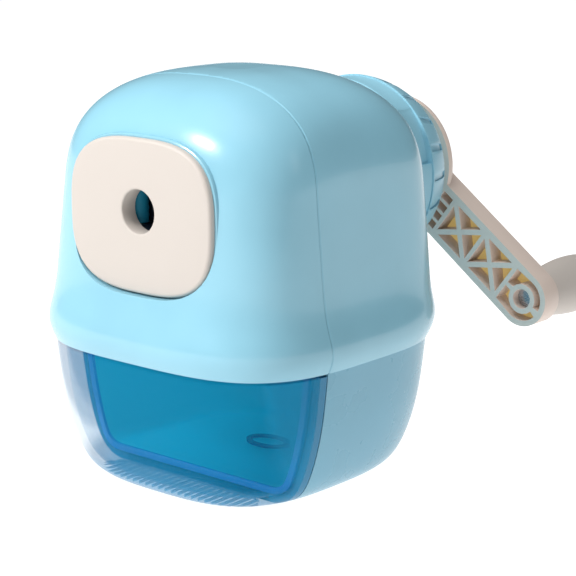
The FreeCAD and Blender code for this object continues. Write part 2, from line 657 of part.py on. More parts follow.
def rear_cap():
    inner = SLEEVE_R + CAP_GAP
    front = REAR_SEAT_Y + CAP_GAP
    shell = turned([(inner, front), (CAP_R - 0.5, front), (CAP_R, front + 0.5),
                    (CAP_R, CAP_BAND_Y), (CAP_BAND_R, CAP_BAND_Y), (CAP_BAND_R - 0.8, 50.0),
                    (CAP_END_R + 0.7, 54.4), (CAP_END_R - 0.3, CAP_END_Y),
                    (CAP_END_R - 2.2, CAP_END_Y + 0.6), (BUSH_R, CAP_END_Y + 0.6),
                    (BUSH_R, CAP_END_Y - CAP_REAR_WALL), (CAP_END_R - 3.2, CAP_END_Y - CAP_REAR_WALL),
                    (CAP_END_R - 2.2, CAP_END_Y - CAP_REAR_WALL - 1.2), (inner, 49.2)])
    cuts = []
    reach = SLEEVE_R + LUG_OUT + 0.2
    for angle in LUG_ANGLES:
        cuts.append(arc_block(inner - 0.5, reach, LUG_Y - CAP_GAP, LUG_Y + LUG_THICK + CAP_GAP,
                              angle - LUG_HALF - 1, angle + LUG_HALF + CAP_TURN + 1))
        cuts.append(arc_block(inner - 0.5, reach, front - 1, LUG_Y + LUG_THICK + CAP_GAP,
                              angle + CAP_TURN - LUG_HALF - 1, angle + LUG_HALF + CAP_TURN + 1))
    for angle in THUMB_ANGLES:
        cuts.append(about_axis(thumb_cut(front + 1.2), angle))
    notch = box(CAP_END_R - 1, CAP_BAND_R + 1, CAP_BAND_Y + 0.6, CAP_END_Y + 1,
                AXIS_Z - 0.9, AXIS_Z + 0.9)
    floor = turned([(0, 0), (CAP_BAND_R - 0.5, CAP_BAND_Y), (CAP_BAND_R - 1.3, 50.0),
                    (CAP_END_R + 0.2, 54.4), (CAP_END_R - 0.8, CAP_END_Y), (0, CAP_END_Y + 1)])
    notch = notch.cut(floor)
    cuts += [about_axis(notch, 360 / NOTCHES * i) for i in range(NOTCHES)]
    return shell.cut(cuts)


def thumb_cut(front):
    """Ramp that is deepest at 0 degrees, where a flat wall stops the thumb."""
    low = CAP_R - THUMB_CUT
    end = math.radians(THUMB_SPAN)
    ramp = [(low, AXIS_Z), (CAP_R + 3, AXIS_Z),
            ((CAP_R + 3) * math.cos(end), AXIS_Z + (CAP_R + 3) * math.sin(end)),
            (CAP_R * math.cos(end), AXIS_Z + CAP_R * math.sin(end)),
            (low * math.cos(end / 2) * 1.012, AXIS_Z + low * math.sin(end / 2) * 1.012)]
    return prism_y(ramp, front, CAP_BAND_Y)


def cap_bush():
    wall = CAP_END_Y - CAP_REAR_WALL
    bush = turned([(SHAFT_R + RUN_FIT, wall - 1.2), (BUSH_R + 2, wall - 1.2), (BUSH_R + 2, wall),
                   (BUSH_R, wall), (BUSH_R, CAP_END_Y + 0.6), (SHAFT_R + RUN_FIT, CAP_END_Y + 0.6)])
    return bush


# ---------- crank ----------

def on_arm(shape):
    """Place a shape drawn along +X at crank angle 0 into the crank's rest angle."""
    return about_axis(shape, ARM_ANGLE)


def arm_cells():
    """Pockets in the face towards the body, between walls and thin ribs."""
    wide = ARM_HALF - ARM_WALL
    y0, y1 = ARM_Y - 1, ARM_Y + ARM_POCKET

    def cell(points):
        return prism_y([(x, AXIS_Z + z) for x, z in points], y0, y1)

    half = ARM_RIB / 2
    cuts = []
    small = (2 * wide - 3 * 0.9) / 4
    for i in range(4):
        z = -wide + i * (small + 0.9)
        x0, x1 = ARM_CELLS[0] - half - 3.6, ARM_CELLS[0] - half
        cuts.append(cell([(x0, z), (x1, z), (x1, z + small), (x0, z + small)]))
    slack = ARM_RIB * 0.85
    for a, b in zip(ARM_CELLS, ARM_CELLS[1:]):
        x0, x1, xm = a + half, b - half, (a + b) / 2
        cuts.append(cell([(x0, -wide + slack), (xm - slack, 0), (x0, wide - slack)]))
        cuts.append(cell([(x1, -wide + slack), (x1, wide - slack), (xm + slack, 0)]))
        cuts.append(cell([(x0 + slack, wide), (xm, slack), (x1 - slack, wide)]))
        cuts.append(cell([(x0 + slack, -wide), (x1 - slack, -wide), (xm, -slack)]))
    x0 = ARM_CELLS[-1] + half
    ring = ring_y(ARM_HALF - ARM_WALL + 0.4, END_BOSS_R, y0, y1, ARM_REACH)
    block = box(x0, ARM_REACH, y0, y1, AXIS_Z - wide, AXIS_Z + wide)
    block = block.cut(rod_y(END_BOSS_R, y0 - 1, y1 + 1, ARM_REACH))
    outer = ring.common(box(ARM_REACH + 0.8, FAR, -FAR, FAR, -FAR, FAR))
    rib = box(x0 - 1, ARM_REACH, y0 - 1, y1 + 1, AXIS_Z - 0.5, AXIS_Z + 0.5)
    cuts += [block.cut(rib), outer]
    return cuts


def crank_arm():
    end_y = ARM_Y + ARM_THICK
    hub = turned([(0, ARM_Y), (HUB_R, ARM_Y), (HUB_R, ARM_Y + 1.6), (HUB_R - 1.3, ARM_Y + 3.4),
                  (HUB_R - 3.6, ARM_Y + 5.0), (HUB_R - 7.5, end_y), (0, end_y)])
    bar = box(0, ARM_REACH, ARM_Y, end_y, AXIS_Z - ARM_HALF, AXIS_Z + ARM_HALF)
    tip = rod_y(ARM_HALF, ARM_Y, end_y, ARM_REACH)
    boss = rod_y(HUB_BOSS_R, CAP_END_Y + 1.2, ARM_Y)
    blank = joined([hub, bar, tip, boss])
    cuts = arm_cells()
    cuts.append(rod_y(SHAFT_R, 0, end_y - 2.2))
    cuts.append(rod_y(SCREW_R + 0.2, 0, FAR))
    cuts.append(rod_y(7.0, end_y - 1.4, FAR))
    cuts.append(rod_y(END_BORE_R, 0, ARM_Y + ARM_POCKET, ARM_REACH))
    cuts.append(rod_y(PIN_R, 0, FAR, ARM_REACH))
    return on_arm(blank.cut(cuts))


def crank_shaft():
    shaft = rod_y(SHAFT_R, HEAD_FRONT + 0.8, ARM_Y + ARM_THICK - 2.2)
    return shaft.cut(rod_y(SCREW_R, ARM_Y - 5, FAR))


def crank_screw():
    seat = ARM_Y + ARM_THICK - 1.4
    return rod_y(SCREW_R, ARM_Y - 4, seat).fuse(rod_y(3.4, seat, seat + 0.9)).cut(
        box(-2.4, 2.4, seat + 0.4, FAR, AXIS_Z - 0.4, AXIS_Z + 0.4))


def hub_cap():
    seat = ARM_Y + ARM_THICK
    cup = turned([(4.2, seat - 1.4), (6.9, seat - 1.4), (6.9, seat), (7.6, seat), (7.0, seat + 1.0),
                  (4.0, seat + 1.7), (0, seat + 1.9), (0, seat), (4.2, seat)])
    return cup


def knob_pin():
    end = ARM_Y + ARM_THICK
    pin = rod_y(PIN_R, ARM_Y + 2.4, end + KNOB_GAP + KNOB_LEN - 3.0, ARM_REACH)
    collar = ring_y(END_BORE_R - 0.1, PIN_R - 0.5, ARM_Y + 2.4, ARM_Y + ARM_POCKET, ARM_REACH)
    head = rod_y(3.6, end + KNOB_GAP + KNOB_LEN - 3.0, end + KNOB_GAP + KNOB_LEN - 1.8, ARM_REACH)
    return on_arm(pin.fuse([collar, head]))


def crank_knob():
    y0 = ARM_Y + ARM_THICK + KNOB_GAP
    y1 = y0 + KNOB_LEN
    r = KNOB_R
    body = turned([(PIN_R + RUN_FIT, y0), (r - 2.4, y0), (r - 1.6, y0 + 0.8), (r - 1.2, y0 + 4),
                   (r - 0.4, y0 + 10), (r, y0 + 16), (r - 0.4, y0 + 21), (r - 1.4, y1 - 0.8),
                   (r - 2.2, y1), (5.0, y1), (5.0, y1 - 3.3), (PIN_R + RUN_FIT, y1 - 3.3)],
                  ARM_REACH)
    return on_arm(body)


def knob_cap():
    y1 = ARM_Y + ARM_THICK + KNOB_GAP + KNOB_LEN
    cap = turned([(0, y1 - 1.0), (4.2, y1 - 1.0), (4.2, y1 - 1.6), (5.0, y1 - 1.6), (5.0, y1 + 0.2),
                  (3.2, y1 + 0.8), (0, y1 + 1.0)], ARM_REACH)
    return on_arm(cap)


def nodes():
    parts = {
        "front_housing": front_housing, "rear_housing": rear_housing,
        "housing_screws": housing_screws, "base_tub": base_tub, "base_screws": base_screws,
        "non_slip_pad": non_slip_pad, "shavings_chute": shavings_chute, "drawer": drawer,
        "face_plate": face_plate, "roller_cage": roller_cage, "roller_pins": roller_pins,
        "mechanism_frame": mechanism_frame, "ring_gear": ring_gear,
        "cutter_carrier": cutter_carrier, "helical_cutter": helical_cutter,
        "cutter_pinion": cutter_pinion, "cutter_axle": cutter_axle,
        "thrust_washer": thrust_washer, "crank_shaft": crank_shaft, "rear_cap": rear_cap,
        "cap_bush": cap_bush, "crank_arm": crank_arm, "crank_screw": crank_screw,
        "hub_cap": hub_cap, "knob_pin": knob_pin, "crank_knob": crank_knob, "knob_cap": knob_cap,
    }
    for name, make in parts.items():
        yield name, make()
    for number, angle in enumerate(ROLLER_ANGLES, 1):
        yield f"grip_roller_{number}", grip_roller(angle)


os.makedirs("parts", exist_ok=True)
for name, shape in nodes():
    shape.exportStep(f"parts/{name}.step")
    print(f"{name:18s} valid {shape.isValid()} solids {len(shape.Solids)} volume {shape.Volume:9.1f}")
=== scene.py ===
"""Looks of a desk pencil sharpener with a hand crank and a see-through shavings drawer.

The shapes are made in millimetres in the part's own frame: the pencil goes in along +Y,
+Z is up, and the origin is the middle of the face that the sharpener stands on.
"""

import copy
import logging
import math
from contextlib import contextmanager
from dataclasses import dataclass, field
from enum import Enum
from typing import Callable, Iterator, Optional, Sequence

import bmesh
import bpy
from mathutils import Matrix, Vector

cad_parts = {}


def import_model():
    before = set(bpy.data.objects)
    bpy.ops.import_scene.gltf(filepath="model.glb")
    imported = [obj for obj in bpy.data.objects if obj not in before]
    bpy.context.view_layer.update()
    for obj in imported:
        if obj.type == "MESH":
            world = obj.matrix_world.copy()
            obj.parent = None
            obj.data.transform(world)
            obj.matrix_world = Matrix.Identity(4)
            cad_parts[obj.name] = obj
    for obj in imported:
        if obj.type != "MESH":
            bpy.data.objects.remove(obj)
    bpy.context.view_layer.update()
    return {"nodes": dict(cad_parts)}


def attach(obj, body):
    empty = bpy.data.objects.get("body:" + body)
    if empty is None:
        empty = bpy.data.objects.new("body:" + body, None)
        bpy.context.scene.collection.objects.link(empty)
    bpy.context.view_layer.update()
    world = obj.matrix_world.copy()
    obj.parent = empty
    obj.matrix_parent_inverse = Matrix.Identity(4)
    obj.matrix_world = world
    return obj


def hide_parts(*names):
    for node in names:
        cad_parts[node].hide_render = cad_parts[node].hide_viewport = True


log = logging.getLogger("sharpener")

MM = 0.001
AXIS_Z = 71.0          # height of the pencil axis
SPLIT_Y = -15.5        # where the two housing shells meet
SKIRT_Z = 35.1         # lower edge of the housing
DOME_Z = 75.0          # where the top starts to round
TOP_Z = 102.0
CORNER_STEPS = 16      # edges on each rounded corner of an outline
BASE_BOTTOM = 0.6
PLASTIC_IOR = 1.49

Point = tuple[float, float]
Triple = tuple[float, float, float]
Row = tuple[float, float, float, float, float]

# Height, half width, front, rear, corner power in front, corner power behind
HOUSING: tuple[tuple[float, ...], ...] = (
    (35.1, 41.4, 39.2, 38.6, 3.5, 3.5),
    (37.5, 42.35, 40.15, 40.2, 3.5, 3.5),
    (40.3, 42.7, 40.5, 40.9, 3.55, 3.6),
    (43.1, 41.9, 39.7, 39.8, 3.7, 3.9),
    (46.1, 40.8, 38.5, 38.3, 3.9, 4.3),
    (50.1, 39.9, 37.3, 37.1, 4.1, 4.8),
    (56.1, 39.2, 36.4, 36.2, 4.3, 5.2),
    (64.1, 38.5, 35.7, 35.5, 4.3, 5.4),
    (DOME_Z, 37.6, 35.1, 34.8, 4.1, 5.4),
)
BASE: tuple[tuple[float, ...], ...] = (
    (BASE_BOTTOM, 28.6, 30.0, 29.5, 3.0, 3.0),
    (2.2, 32.2, 32.9, 32.7, 3.2, 3.2),
    (5.2, 34.7, 35.1, 34.7, 3.3, 3.3),
    (9.8, 36.6, 36.5, 36.0, 3.4, 3.4),
    (16.0, 38.4, 37.6, 37.0, 3.5, 3.5),
    (23.5, 40.0, 38.4, 37.8, 3.5, 3.5),
    (SKIRT_Z, 41.2, 39.1, 38.5, 3.5, 3.5),
)
DOME_STEPS = (0.1, 0.25, 0.4, 0.53, 0.65, 0.75, 0.83, 0.89, 0.935, 0.965, 0.985, 0.997)


def srgb(red: int, green: int, blue: int) -> Triple:
    """Turn screen values from 0 to 255 into the linear colour that shaders use.

    Args:
        red: Red on the screen.
        green: Green on the screen.
        blue: Blue on the screen.

    Returns:
        The linear colour.
    """
    def linear(value: float) -> float:
        """One channel."""
        value /= 255
        return value / 12.92 if value <= 0.04045 else ((value + 0.055) / 1.055) ** 2.4

    return linear(red), linear(green), linear(blue)


def between(table: Sequence[Sequence[float]], height: float) -> Row:
    """Read a table of sections at a height, on straight lines between its rows.

    Args:
        table: Rows that start with their height.
        height: Height to read at.

    Returns:
        Half width, front, rear, front power and rear power.
    """
    for low, high in zip(table, table[1:]):
        if height <= high[0] or high is table[-1]:
            share = (height - low[0]) / (high[0] - low[0])
            return tuple(a + share * (b - a) for a, b in zip(low[1:], high[1:]))
    return tuple(table[-1][1:])


def dome_row(step: float) -> Row:
    """Section of the rounded top, from step 0 at its foot to 1 at its highest point."""
    half_x, front, rear, power_front, power_rear = HOUSING[-1][1:]
    return (half_x * (1 - step ** 2.6) ** (1 / 2.6), front * (1 - step ** 3.0) ** (1 / 3.0),
            rear * (1 - step ** 2.7) ** (1 / 2.7), power_front - 1.4 * step,
            power_rear - 2.4 * step)


# ---------- meshes ----------

class Ends(Enum):
    """What closes a stack of outlines."""

    OPEN = "open"
    CAPPED = "capped"
    LAST_GRID = "last grid"
    FIRST_GRID = "first grid"
    JOINED = "joined"


class Shape:
    """A mesh in millimetres that edit-mode operators shape."""

    def __init__(self, name: str) -> None:
        """Start an empty mesh.

        Args:
            name: Name of the object and its mesh.
        """
        bpy.ops.object.select_all(action="DESELECT")
        bpy.ops.mesh.primitive_plane_add(size=1)
        self.obj = bpy.context.object
        self.obj.name = name
        self.obj.data.name = name
        self.count = 0
        with self.editing():
            bpy.ops.mesh.delete(type="VERT")
            bmesh.from_edit_mesh(self.obj.data).verts.layers.int.new("ring")

    def alone(self) -> None:
        """Select only this object and make it active."""
        bpy.ops.object.select_all(action="DESELECT")
        bpy.context.view_layer.objects.active = self.obj
        self.obj.select_set(True)

    @contextmanager
    def editing(self) -> Iterator[None]:
        """Work on this mesh in edit mode."""
        self.alone()
        bpy.ops.object.mode_set(mode="EDIT")
        yield
        bpy.ops.object.mode_set(mode="OBJECT")

    def corners(self) -> tuple[bmesh.types.BMesh, bmesh.types.BMLayerItem]:
        """Mesh being edited and the layer that holds its corners' outline numbers."""
        mesh = bmesh.from_edit_mesh(self.obj.data)
        return mesh, mesh.verts.layers.int["ring"]

    def pick(self, test: Callable[[bmesh.types.BMVert, int], bool]) -> None:
        """Select only the corners that pass a test.

        Args:
            test: Takes a corner and the number of its outline.
        """
        bpy.ops.mesh.select_mode(type="VERT")
        bpy.ops.mesh.select_all(action="DESELECT")
        mesh, ring = self.corners()
        for corner in mesh.verts:
            if test(corner, corner[ring]):
                corner.select_set(True)
        mesh.select_flush_mode()
        bmesh.update_edit_mesh(self.obj.data)

    def pick_faces(self, test: Callable[[bmesh.types.BMFace], bool]) -> None:
        """Select only the faces that pass a test on their place or normal."""
        bpy.ops.mesh.select_mode(type="FACE")
        bpy.ops.mesh.select_all(action="DESELECT")
        mesh = bmesh.from_edit_mesh(self.obj.data)
        for face in mesh.faces:
            if test(face):
                face.select_set(True)
        mesh.select_flush_mode()
        bmesh.update_edit_mesh(self.obj.data)

    def number(self) -> int:
        """Give the corners that have none the next outline number, and return it."""
        self.count += 1
        mesh, ring = self.corners()
        for corner in mesh.verts:
            if corner[ring] == 0:
                corner[ring] = self.count
        bmesh.update_edit_mesh(self.obj.data)
        return self.count

    def outline(self, height: float, row: Sequence[float], inset: float = 0.0) -> int:
        """Add a superellipse outline across Z, with its own corners in front and behind.

        Args:
            height: Where it lies.
            row: Half width, front, rear, front power and rear power.
            inset: How far it is moved inward.

        Returns:
            The outline's number.
        """
        half_x, front, rear, power_front, power_rear = row
        bpy.ops.mesh.primitive_plane_add(size=2, location=(0, 0, height))
        for side, power in ((-1, power_front), (1, power_rear)):
            self.pick(lambda v, n: n == 0 and v.co.y * side > 0.5)
            bpy.ops.mesh.bevel(affect="VERTICES", offset=0.9999, segments=CORNER_STEPS,
                               profile=2 ** (-2 / power))
        self.pick(lambda v, n: n == 0)
        bpy.ops.mesh.remove_doubles(threshold=0.001)
        bpy.ops.mesh.delete(type="ONLY_FACE")
        self.pick(lambda v, n: n == 0)
        middle = (0, 0, height)
        bpy.ops.transform.resize(value=(half_x - inset, 1, 1), center_override=middle)
        for side, depth in ((-1, front), (1, rear)):
            self.pick(lambda v, n: n == 0 and v.co.y * side > 0.002)
            bpy.ops.transform.resize(value=(1, depth - inset, 1), center_override=middle)
        return self.number()

    def circle(self, height: float, radius: float, sides: int = 64, x: float = 0.0,
               y: float = 0.0) -> int:
        """Add a round outline across Z and return its number."""
        bpy.ops.mesh.primitive_circle_add(vertices=sides, radius=radius, fill_type="NOTHING",
                                          location=(x, y, height))
        return self.number()

    def polygon(self, height: float, points: Sequence[Point]) -> int:
        """Add a straight-sided outline across Z through given points, and return its number."""
        bpy.ops.mesh.primitive_circle_add(vertices=len(points), radius=1, fill_type="NOTHING",
                                          location=(0, 0, height))
        mesh, ring = self.corners()
        fresh = [v for v in mesh.verts if v[ring] == 0]
        order = [fresh[0]]
        while len(order) < len(fresh):
            order.append(next(e.other_vert(order[-1]) for e in order[-1].link_edges
                              if e.other_vert(order[-1]) not in order[-2:-1]))
        for corner, (x, y) in zip(order, points):
            corner.co = (x, y, height)
        bmesh.update_edit_mesh(self.obj.data)
        return self.number()

    def extrude(self, ring: int, to: float) -> int:
        """Close an outline and pull the face along Z to a height. Returns the far outline."""
        self.pick(lambda v, n: n == ring)
        bpy.ops.mesh.edge_face_add()
        mesh = bmesh.from_edit_mesh(self.obj.data)
        start = next(v.co.z for v in mesh.verts if v.select)
        bpy.ops.mesh.extrude_region_move(TRANSFORM_OT_translate={"value": (0, 0, to - start)})
        mesh, layer = self.corners()
        for corner in mesh.verts:
            if corner.select:
                corner[layer] = 0
        bmesh.update_edit_mesh(self.obj.data)
        return self.number()

    def stack(self, rings: Sequence[int], ends: Ends = Ends.OPEN) -> None:
        """Bridge outlines in order and close the ends.

        Args:
            rings: Outline numbers in order.
            ends: How the first and the last are closed.
        """
        pairs = list(zip(rings, rings[1:]))
        if ends is Ends.JOINED:
            pairs.append((rings[-1], rings[0]))
        for low, high in pairs:
            self.pick(lambda v, n: n in (low, high))
            bpy.ops.mesh.bridge_edge_loops()
        closings = {Ends.CAPPED: ((rings[0], False), (rings[-1], False)),
                    Ends.LAST_GRID: ((rings[-1], True),),
                    Ends.FIRST_GRID: ((rings[0], True),)}
        for ring, grid in closings.get(ends, ()):
            self.pick(lambda v, n: n == ring)
            if grid:
                bpy.ops.mesh.fill_grid(span=CORNER_STEPS)
            else:
                bpy.ops.mesh.edge_face_add()
        self.face_out()

    def face_out(self) -> None:
        """Turn every face outward."""
        bpy.ops.mesh.select_all(action="SELECT")
        bpy.ops.mesh.normals_make_consistent(inside=False)

    def keep(self, place: float, side: int, fill: bool = False) -> None:
        """Cut across Y and keep one side.

        Args:
            place: Where the cut is.
            side: 1 keeps what is behind it and -1 what is in front.
            fill: Whether the cut is closed.
        """
        bpy.ops.mesh.select_all(action="SELECT")
        bpy.ops.mesh.bisect(plane_co=(0, place, 0), plane_no=(0, 1, 0), use_fill=fill,
                            clear_inner=side > 0, clear_outer=side < 0)

    def modify(self, kind: str, **settings: object) -> "Shape":
        """Apply one modifier.

        Args:
            kind: The modifier's type.
            **settings: Its settings.

        Returns:
            This shape.
        """
        self.alone()
        modifier = self.obj.modifiers.new(kind, kind)
        for setting, value in settings.items():
            setattr(modifier, setting, value)
        bpy.ops.object.modifier_apply(modifier=modifier.name)
        return self

    def twin(self, name: str) -> "Shape":
        """Copy this shape, with a mesh of its own, under a new name."""
        self.alone()
        bpy.ops.object.duplicate()
        other = copy.copy(self)
        other.obj = bpy.context.object
        other.obj.name = name
        other.obj.data.name = name
        return other

    def join(self, *others: "Shape") -> "Shape":
        """Fuse closed shapes to this one."""
        return self._combine("UNION", others)

    def cut(self, *others: "Shape") -> "Shape":
        """Take closed shapes out of this one."""
        return self._combine("DIFFERENCE", others)

    def _combine(self, operation: str, others: Sequence["Shape"]) -> "Shape":
        """Apply one boolean after another and remove what it used."""
        for other in others:
            self.modify("BOOLEAN", operation=operation, object=other.obj, solver="EXACT")
            bpy.data.meshes.remove(other.obj.data)
        return self

    def add(self, *others: "Shape") -> "Shape":
        """Bring the faces of other shapes into this object as they are."""
        self.alone()
        for other in others:
            other.obj.select_set(True)
        bpy.ops.object.join()
        return self

    def move(self, matrix: Matrix) -> "Shape":
        """Place the mesh by a matrix that is then part of it."""
        self.alone()
        self.obj.matrix_world = matrix
        bpy.ops.object.transform_apply(location=True, rotation=True, scale=True)
        return self

    def on_axis(self, turn: float = 0.0) -> "Shape":
        """Lay a shape that was stacked along Z on the pencil axis, so that its +Z is -Y.

        Args:
            turn: Degrees to turn it about the axis, from +X towards +Z.

        Returns:
            This shape.
        """
        return self.move(Matrix.Translation((0, 0, AXIS_Z)) @ Matrix.Rotation(math.pi / 2, 4, "X")
                         @ Matrix.Rotation(math.radians(turn), 4, "Z"))

    def thicken(self, wall: float) -> "Shape":
        """Give an open shell its wall, inward."""
        return self.modify("SOLIDIFY", thickness=wall, offset=-1, use_even_offset=True)

    def refine(self, levels: int) -> "Shape":
        """Smooth the mesh by subdivision."""
        return self.modify("SUBSURF", levels=levels, render_levels=levels)

    def soften(self, width: float, segments: int = 2, angle: float = 40.0) -> "Shape":
        """Round the sharp edges a little."""
        return self.modify("BEVEL", width=width, segments=segments, limit_method="ANGLE",
                           angle_limit=math.radians(angle), harden_normals=False)


class Piece:
    """Turns a finished shape into a visible piece of the object."""

    def __init__(self, shape: Shape, body: str, slot: str, stands_for: str,
                 finish: bpy.types.Material, smooth: float = 35.0) -> None:
        """Scale the shape to metres, dress it, hang it on its body and hide the CAD node that it
        stands for.

        Args:
            shape: The finished shape.
            body: Body that it moves with.
            slot: The record's material slot; not used.
            stands_for: CAD node that it replaces.
            finish: Its material.
            smooth: Edges flatter than this are shaded smooth, in degrees.
        """
        shape.move(Matrix.Scale(MM, 4))
        obj = shape.obj
        obj.data.materials.clear()
        obj.data.materials.append(finish)
        bpy.ops.object.shade_smooth_by_angle(angle=math.radians(smooth))
        layer = obj.data.attributes.get("ring")
        if layer:
            obj.data.attributes.remove(layer)
        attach(obj, body)
        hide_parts(stands_for)
        log.info("%s: %d faces", obj.name, len(obj.data.polygons))
        self.obj = obj


# ---------- materials ----------

class Signal:
    """A number in a material that Python's arithmetic works on."""

    def __init__(self, paint: "Paint", socket: bpy.types.NodeSocket) -> None:
        """Wrap a socket.

        Args:
            paint: The material it belongs to.
            socket: The socket that carries the number.
        """
        self.paint = paint
        self.socket = socket

    def apply(self, operation: str, *others: object, swap: bool = False) -> "Signal":
        """Add one Math node.

        Args:
            operation: The node's operation.
            *others: The other inputs.
            swap: Whether this signal comes second.

        Returns:
            The result.
        """
        inputs = [self, *others]
        if swap:
            inputs[0], inputs[1] = inputs[1], inputs[0]
        node = self.paint.node("ShaderNodeMath", {"operation": operation}, dict(enumerate(inputs)))
        return Signal(self.paint, node.outputs[0])

    def __add__(self, other: object) -> "Signal":
        """Sum."""
        return self.apply("ADD", other)

    def __sub__(self, other: object) -> "Signal":
        """Difference."""
        return self.apply("SUBTRACT", other)

    def __rsub__(self, other: object) -> "Signal":
        """Difference from a number."""
        return self.apply("SUBTRACT", other, swap=True)

    def __mul__(self, other: object) -> "Signal":
        """Product."""
        return self.apply("MULTIPLY", other)

    __radd__ = __add__
    __rmul__ = __mul__

    def ramp(self, low: float, high: float) -> "Signal":
        """Share of the way from low to high, kept between 0 and 1, with soft ends."""
        node = self.paint.node("ShaderNodeMapRange", {"interpolation_type": "SMOOTHSTEP"},
                               {"Value": self, "From Min": low, "From Max": high})
        return Signal(self.paint, node.outputs[0])


class Paint:
    """Nodes of one material round a Principled shader."""

    def __init__(self, name: str) -> None:
        """Make an empty material with its shader.

        Args:
            name: The material's name.
        """
        self.material = bpy.data.materials.new(name)
        self.material.use_nodes = True
        self.tree = self.material.node_tree
        self.shader = self.tree.nodes["Principled BSDF"]
        self.place = self.node("ShaderNodeTexCoord").outputs["Object"]

    def node(self, kind: str, settings: Optional[dict] = None,
             inputs: Optional[dict] = None) -> bpy.types.Node:
        """Add a node.

        Args:
            kind: Its type.
            settings: Its settings, which are set first.
            inputs: Values or links by socket name or number.

        Returns:
            The node.
        """
        node = self.tree.nodes.new(kind)
        for setting, value in (settings or {}).items():
            setattr(node, setting, value)
        for key, value in (inputs or {}).items():
            self.feed(node.inputs[key], value)
        return node

    def feed(self, socket: bpy.types.NodeSocket, value: object) -> None:
        """Link a signal or socket, or set a plain value."""
        if isinstance(value, Signal):
            self.tree.links.new(value.socket, socket)
        elif isinstance(value, bpy.types.NodeSocket):
            self.tree.links.new(value, socket)
        elif isinstance(value, tuple) and len(value) == 3 and len(socket.default_value) == 4:
            socket.default_value = (*value, 1.0)
        else:
            socket.default_value = value

    def noise(self, size: float, stretch: Triple = (1, 1, 1),
              detail: float = 2.0) -> Signal:
        """Smooth noise from 0 to 1.

        Args:
            size: Size of its spots in millimetres.
            stretch: How much longer the spots are along each axis.
            detail: Number of finer layers.

        Returns:
            The noise.
        """
        place = self.node("ShaderNodeMapping", None,
                          {"Vector": self.place, "Scale": tuple(1 / s for s in stretch)})
        node = self.node("ShaderNodeTexNoise", None,
                         {"Vector": place.outputs[0], "Scale": 1 / (size * MM), "Detail": detail})
        return Signal(self, node.outputs[0])

    def along(self, axis: str) -> Signal:
        """Place along an axis in millimetres."""
        node = self.node("ShaderNodeSeparateXYZ", None, {0: self.place})
        return Signal(self, node.outputs[axis]) * (1 / MM)

    def mix(self, factor: object, first: object, second: object) -> bpy.types.NodeSocket:
        """Blend two colours."""
        node = self.node("ShaderNodeMix", {"data_type": "RGBA"}, {0: factor, 6: first, 7: second})
        return node.outputs[2]

    def set(self, **values: object) -> None:
        """Set the shader's sockets, with underscores for the spaces in their names."""
        for key, value in values.items():
            self.feed(self.shader.inputs[key.replace("_", " ")], value)

    def relief(self, height: Signal, depth: float) -> None:
        """Give the surface a fine relief of a depth in millimetres."""
        bump = self.node("ShaderNodeBump", None,
                         {"Height": height, "Distance": depth * MM, "Strength": 1.0})
        self.set(Normal=bump.outputs[0])


@dataclass(frozen=True)
class Moulded:
    """Moulded plastic: a faint drift of colour, fine flow lines and handling marks."""

    name: str
    colour: Triple
    roughness: float = 0.3
    drift: float = 0.06
    grain: float = 0.01
    grain_size: float = 1.2
    coat: float = 0.0
    # The last two fields give a painted glow, an emission that stands in for light passing through
    # thin clear plastic.
    painted_glow_strength: float = 0.0
    painted_glow_colour: Triple = (0.0, 0.0, 0.0)

    def tint(self, paint: Paint) -> bpy.types.NodeSocket:
        """Colour of the plastic from place to place."""
        dark = tuple(c * (1 - self.drift * 2) for c in self.colour)
        return paint.mix(paint.noise(18.0), dark, self.colour)

    def skin(self, paint: Paint, colour: object) -> bpy.types.Material:
        """Give the surface its colour, handling marks and fine relief.

        Args:
            paint: The material.
            colour: Its colour or a link to it.

        Returns:
            The material.
        """
        paint.set(Base_Color=colour, IOR=PLASTIC_IOR,
                  Roughness=paint.noise(9.0, detail=4.0) * 0.12 + (self.roughness - 0.06))
        paint.relief(paint.noise(self.grain_size), self.grain)
        return paint.material

    def build(self) -> bpy.types.Material:
        """Make the material."""
        paint = Paint(self.name)
        if self.coat:
            paint.set(Coat_Weight=self.coat, Coat_Roughness=0.06)
        # Painted glow where the finish has one.
        if self.painted_glow_strength:
            paint.set(Emission_Color=self.painted_glow_colour, Emission_Strength=self.painted_glow_strength)
        return self.skin(paint, self.tint(paint))


@dataclass(frozen=True)
class ArmPlastic(Moulded):
    """Beige plastic with painted light: the thin pocket floors are painted ochre and glow for the
    warm light they let through, and the rib tops are painted a darker blue-grey as painted shade
    and painted reflection of the blue body.
    """

    # The floor colour and its glow are painted light through the thin pocket floors; the rib
    # colour is painted shade and painted reflection of the blue body, and the rib glow is painted
    # light on the rib tops.
    floor: Triple = (0.52, 0.37, 0.13)
    rib: Triple = (0.4, 0.45, 0.43)
    rib_painted_glow_colour: Triple = (0.2, 0.22, 0.21)
    arm_painted_glow: float = 0.55
    face_y: float = 61.8
    deep_y: float = 66.3

    def build(self) -> bpy.types.Material:
        """Make the material."""
        paint = Paint(self.name)
        top, floor = self.masks(paint)
        # Painted light: the pocket floors and rib tops get their painted colour and a painted
        # glow.
        shade = paint.mix(floor, paint.mix(top, self.colour, self.rib), self.floor)
        arm_painted_glow = paint.mix(floor, paint.mix(top, (0.0, 0.0, 0.0), self.rib_painted_glow_colour), self.floor)
        paint.set(Emission_Color=arm_painted_glow, Emission_Strength=self.arm_painted_glow)
        return self.skin(paint, shade)

    def masks(self, paint: Paint) -> tuple[Signal, Signal]:
        """Where the rib tops and the pocket floors are."""
        normal = paint.node("ShaderNodeNewGeometry").outputs["Normal"]
        facing = Signal(paint, paint.node("ShaderNodeSeparateXYZ", None, {0: normal}).outputs["Y"])
        ahead = (facing * -1).ramp(0.6, 0.9)
        depth = paint.along("Y")
        top = ahead * (1 - depth.ramp(self.face_y + 0.3, self.face_y + 1.2))
        floor = ahead * depth.ramp(self.deep_y - 0.8, self.deep_y - 0.1)
        return top, floor


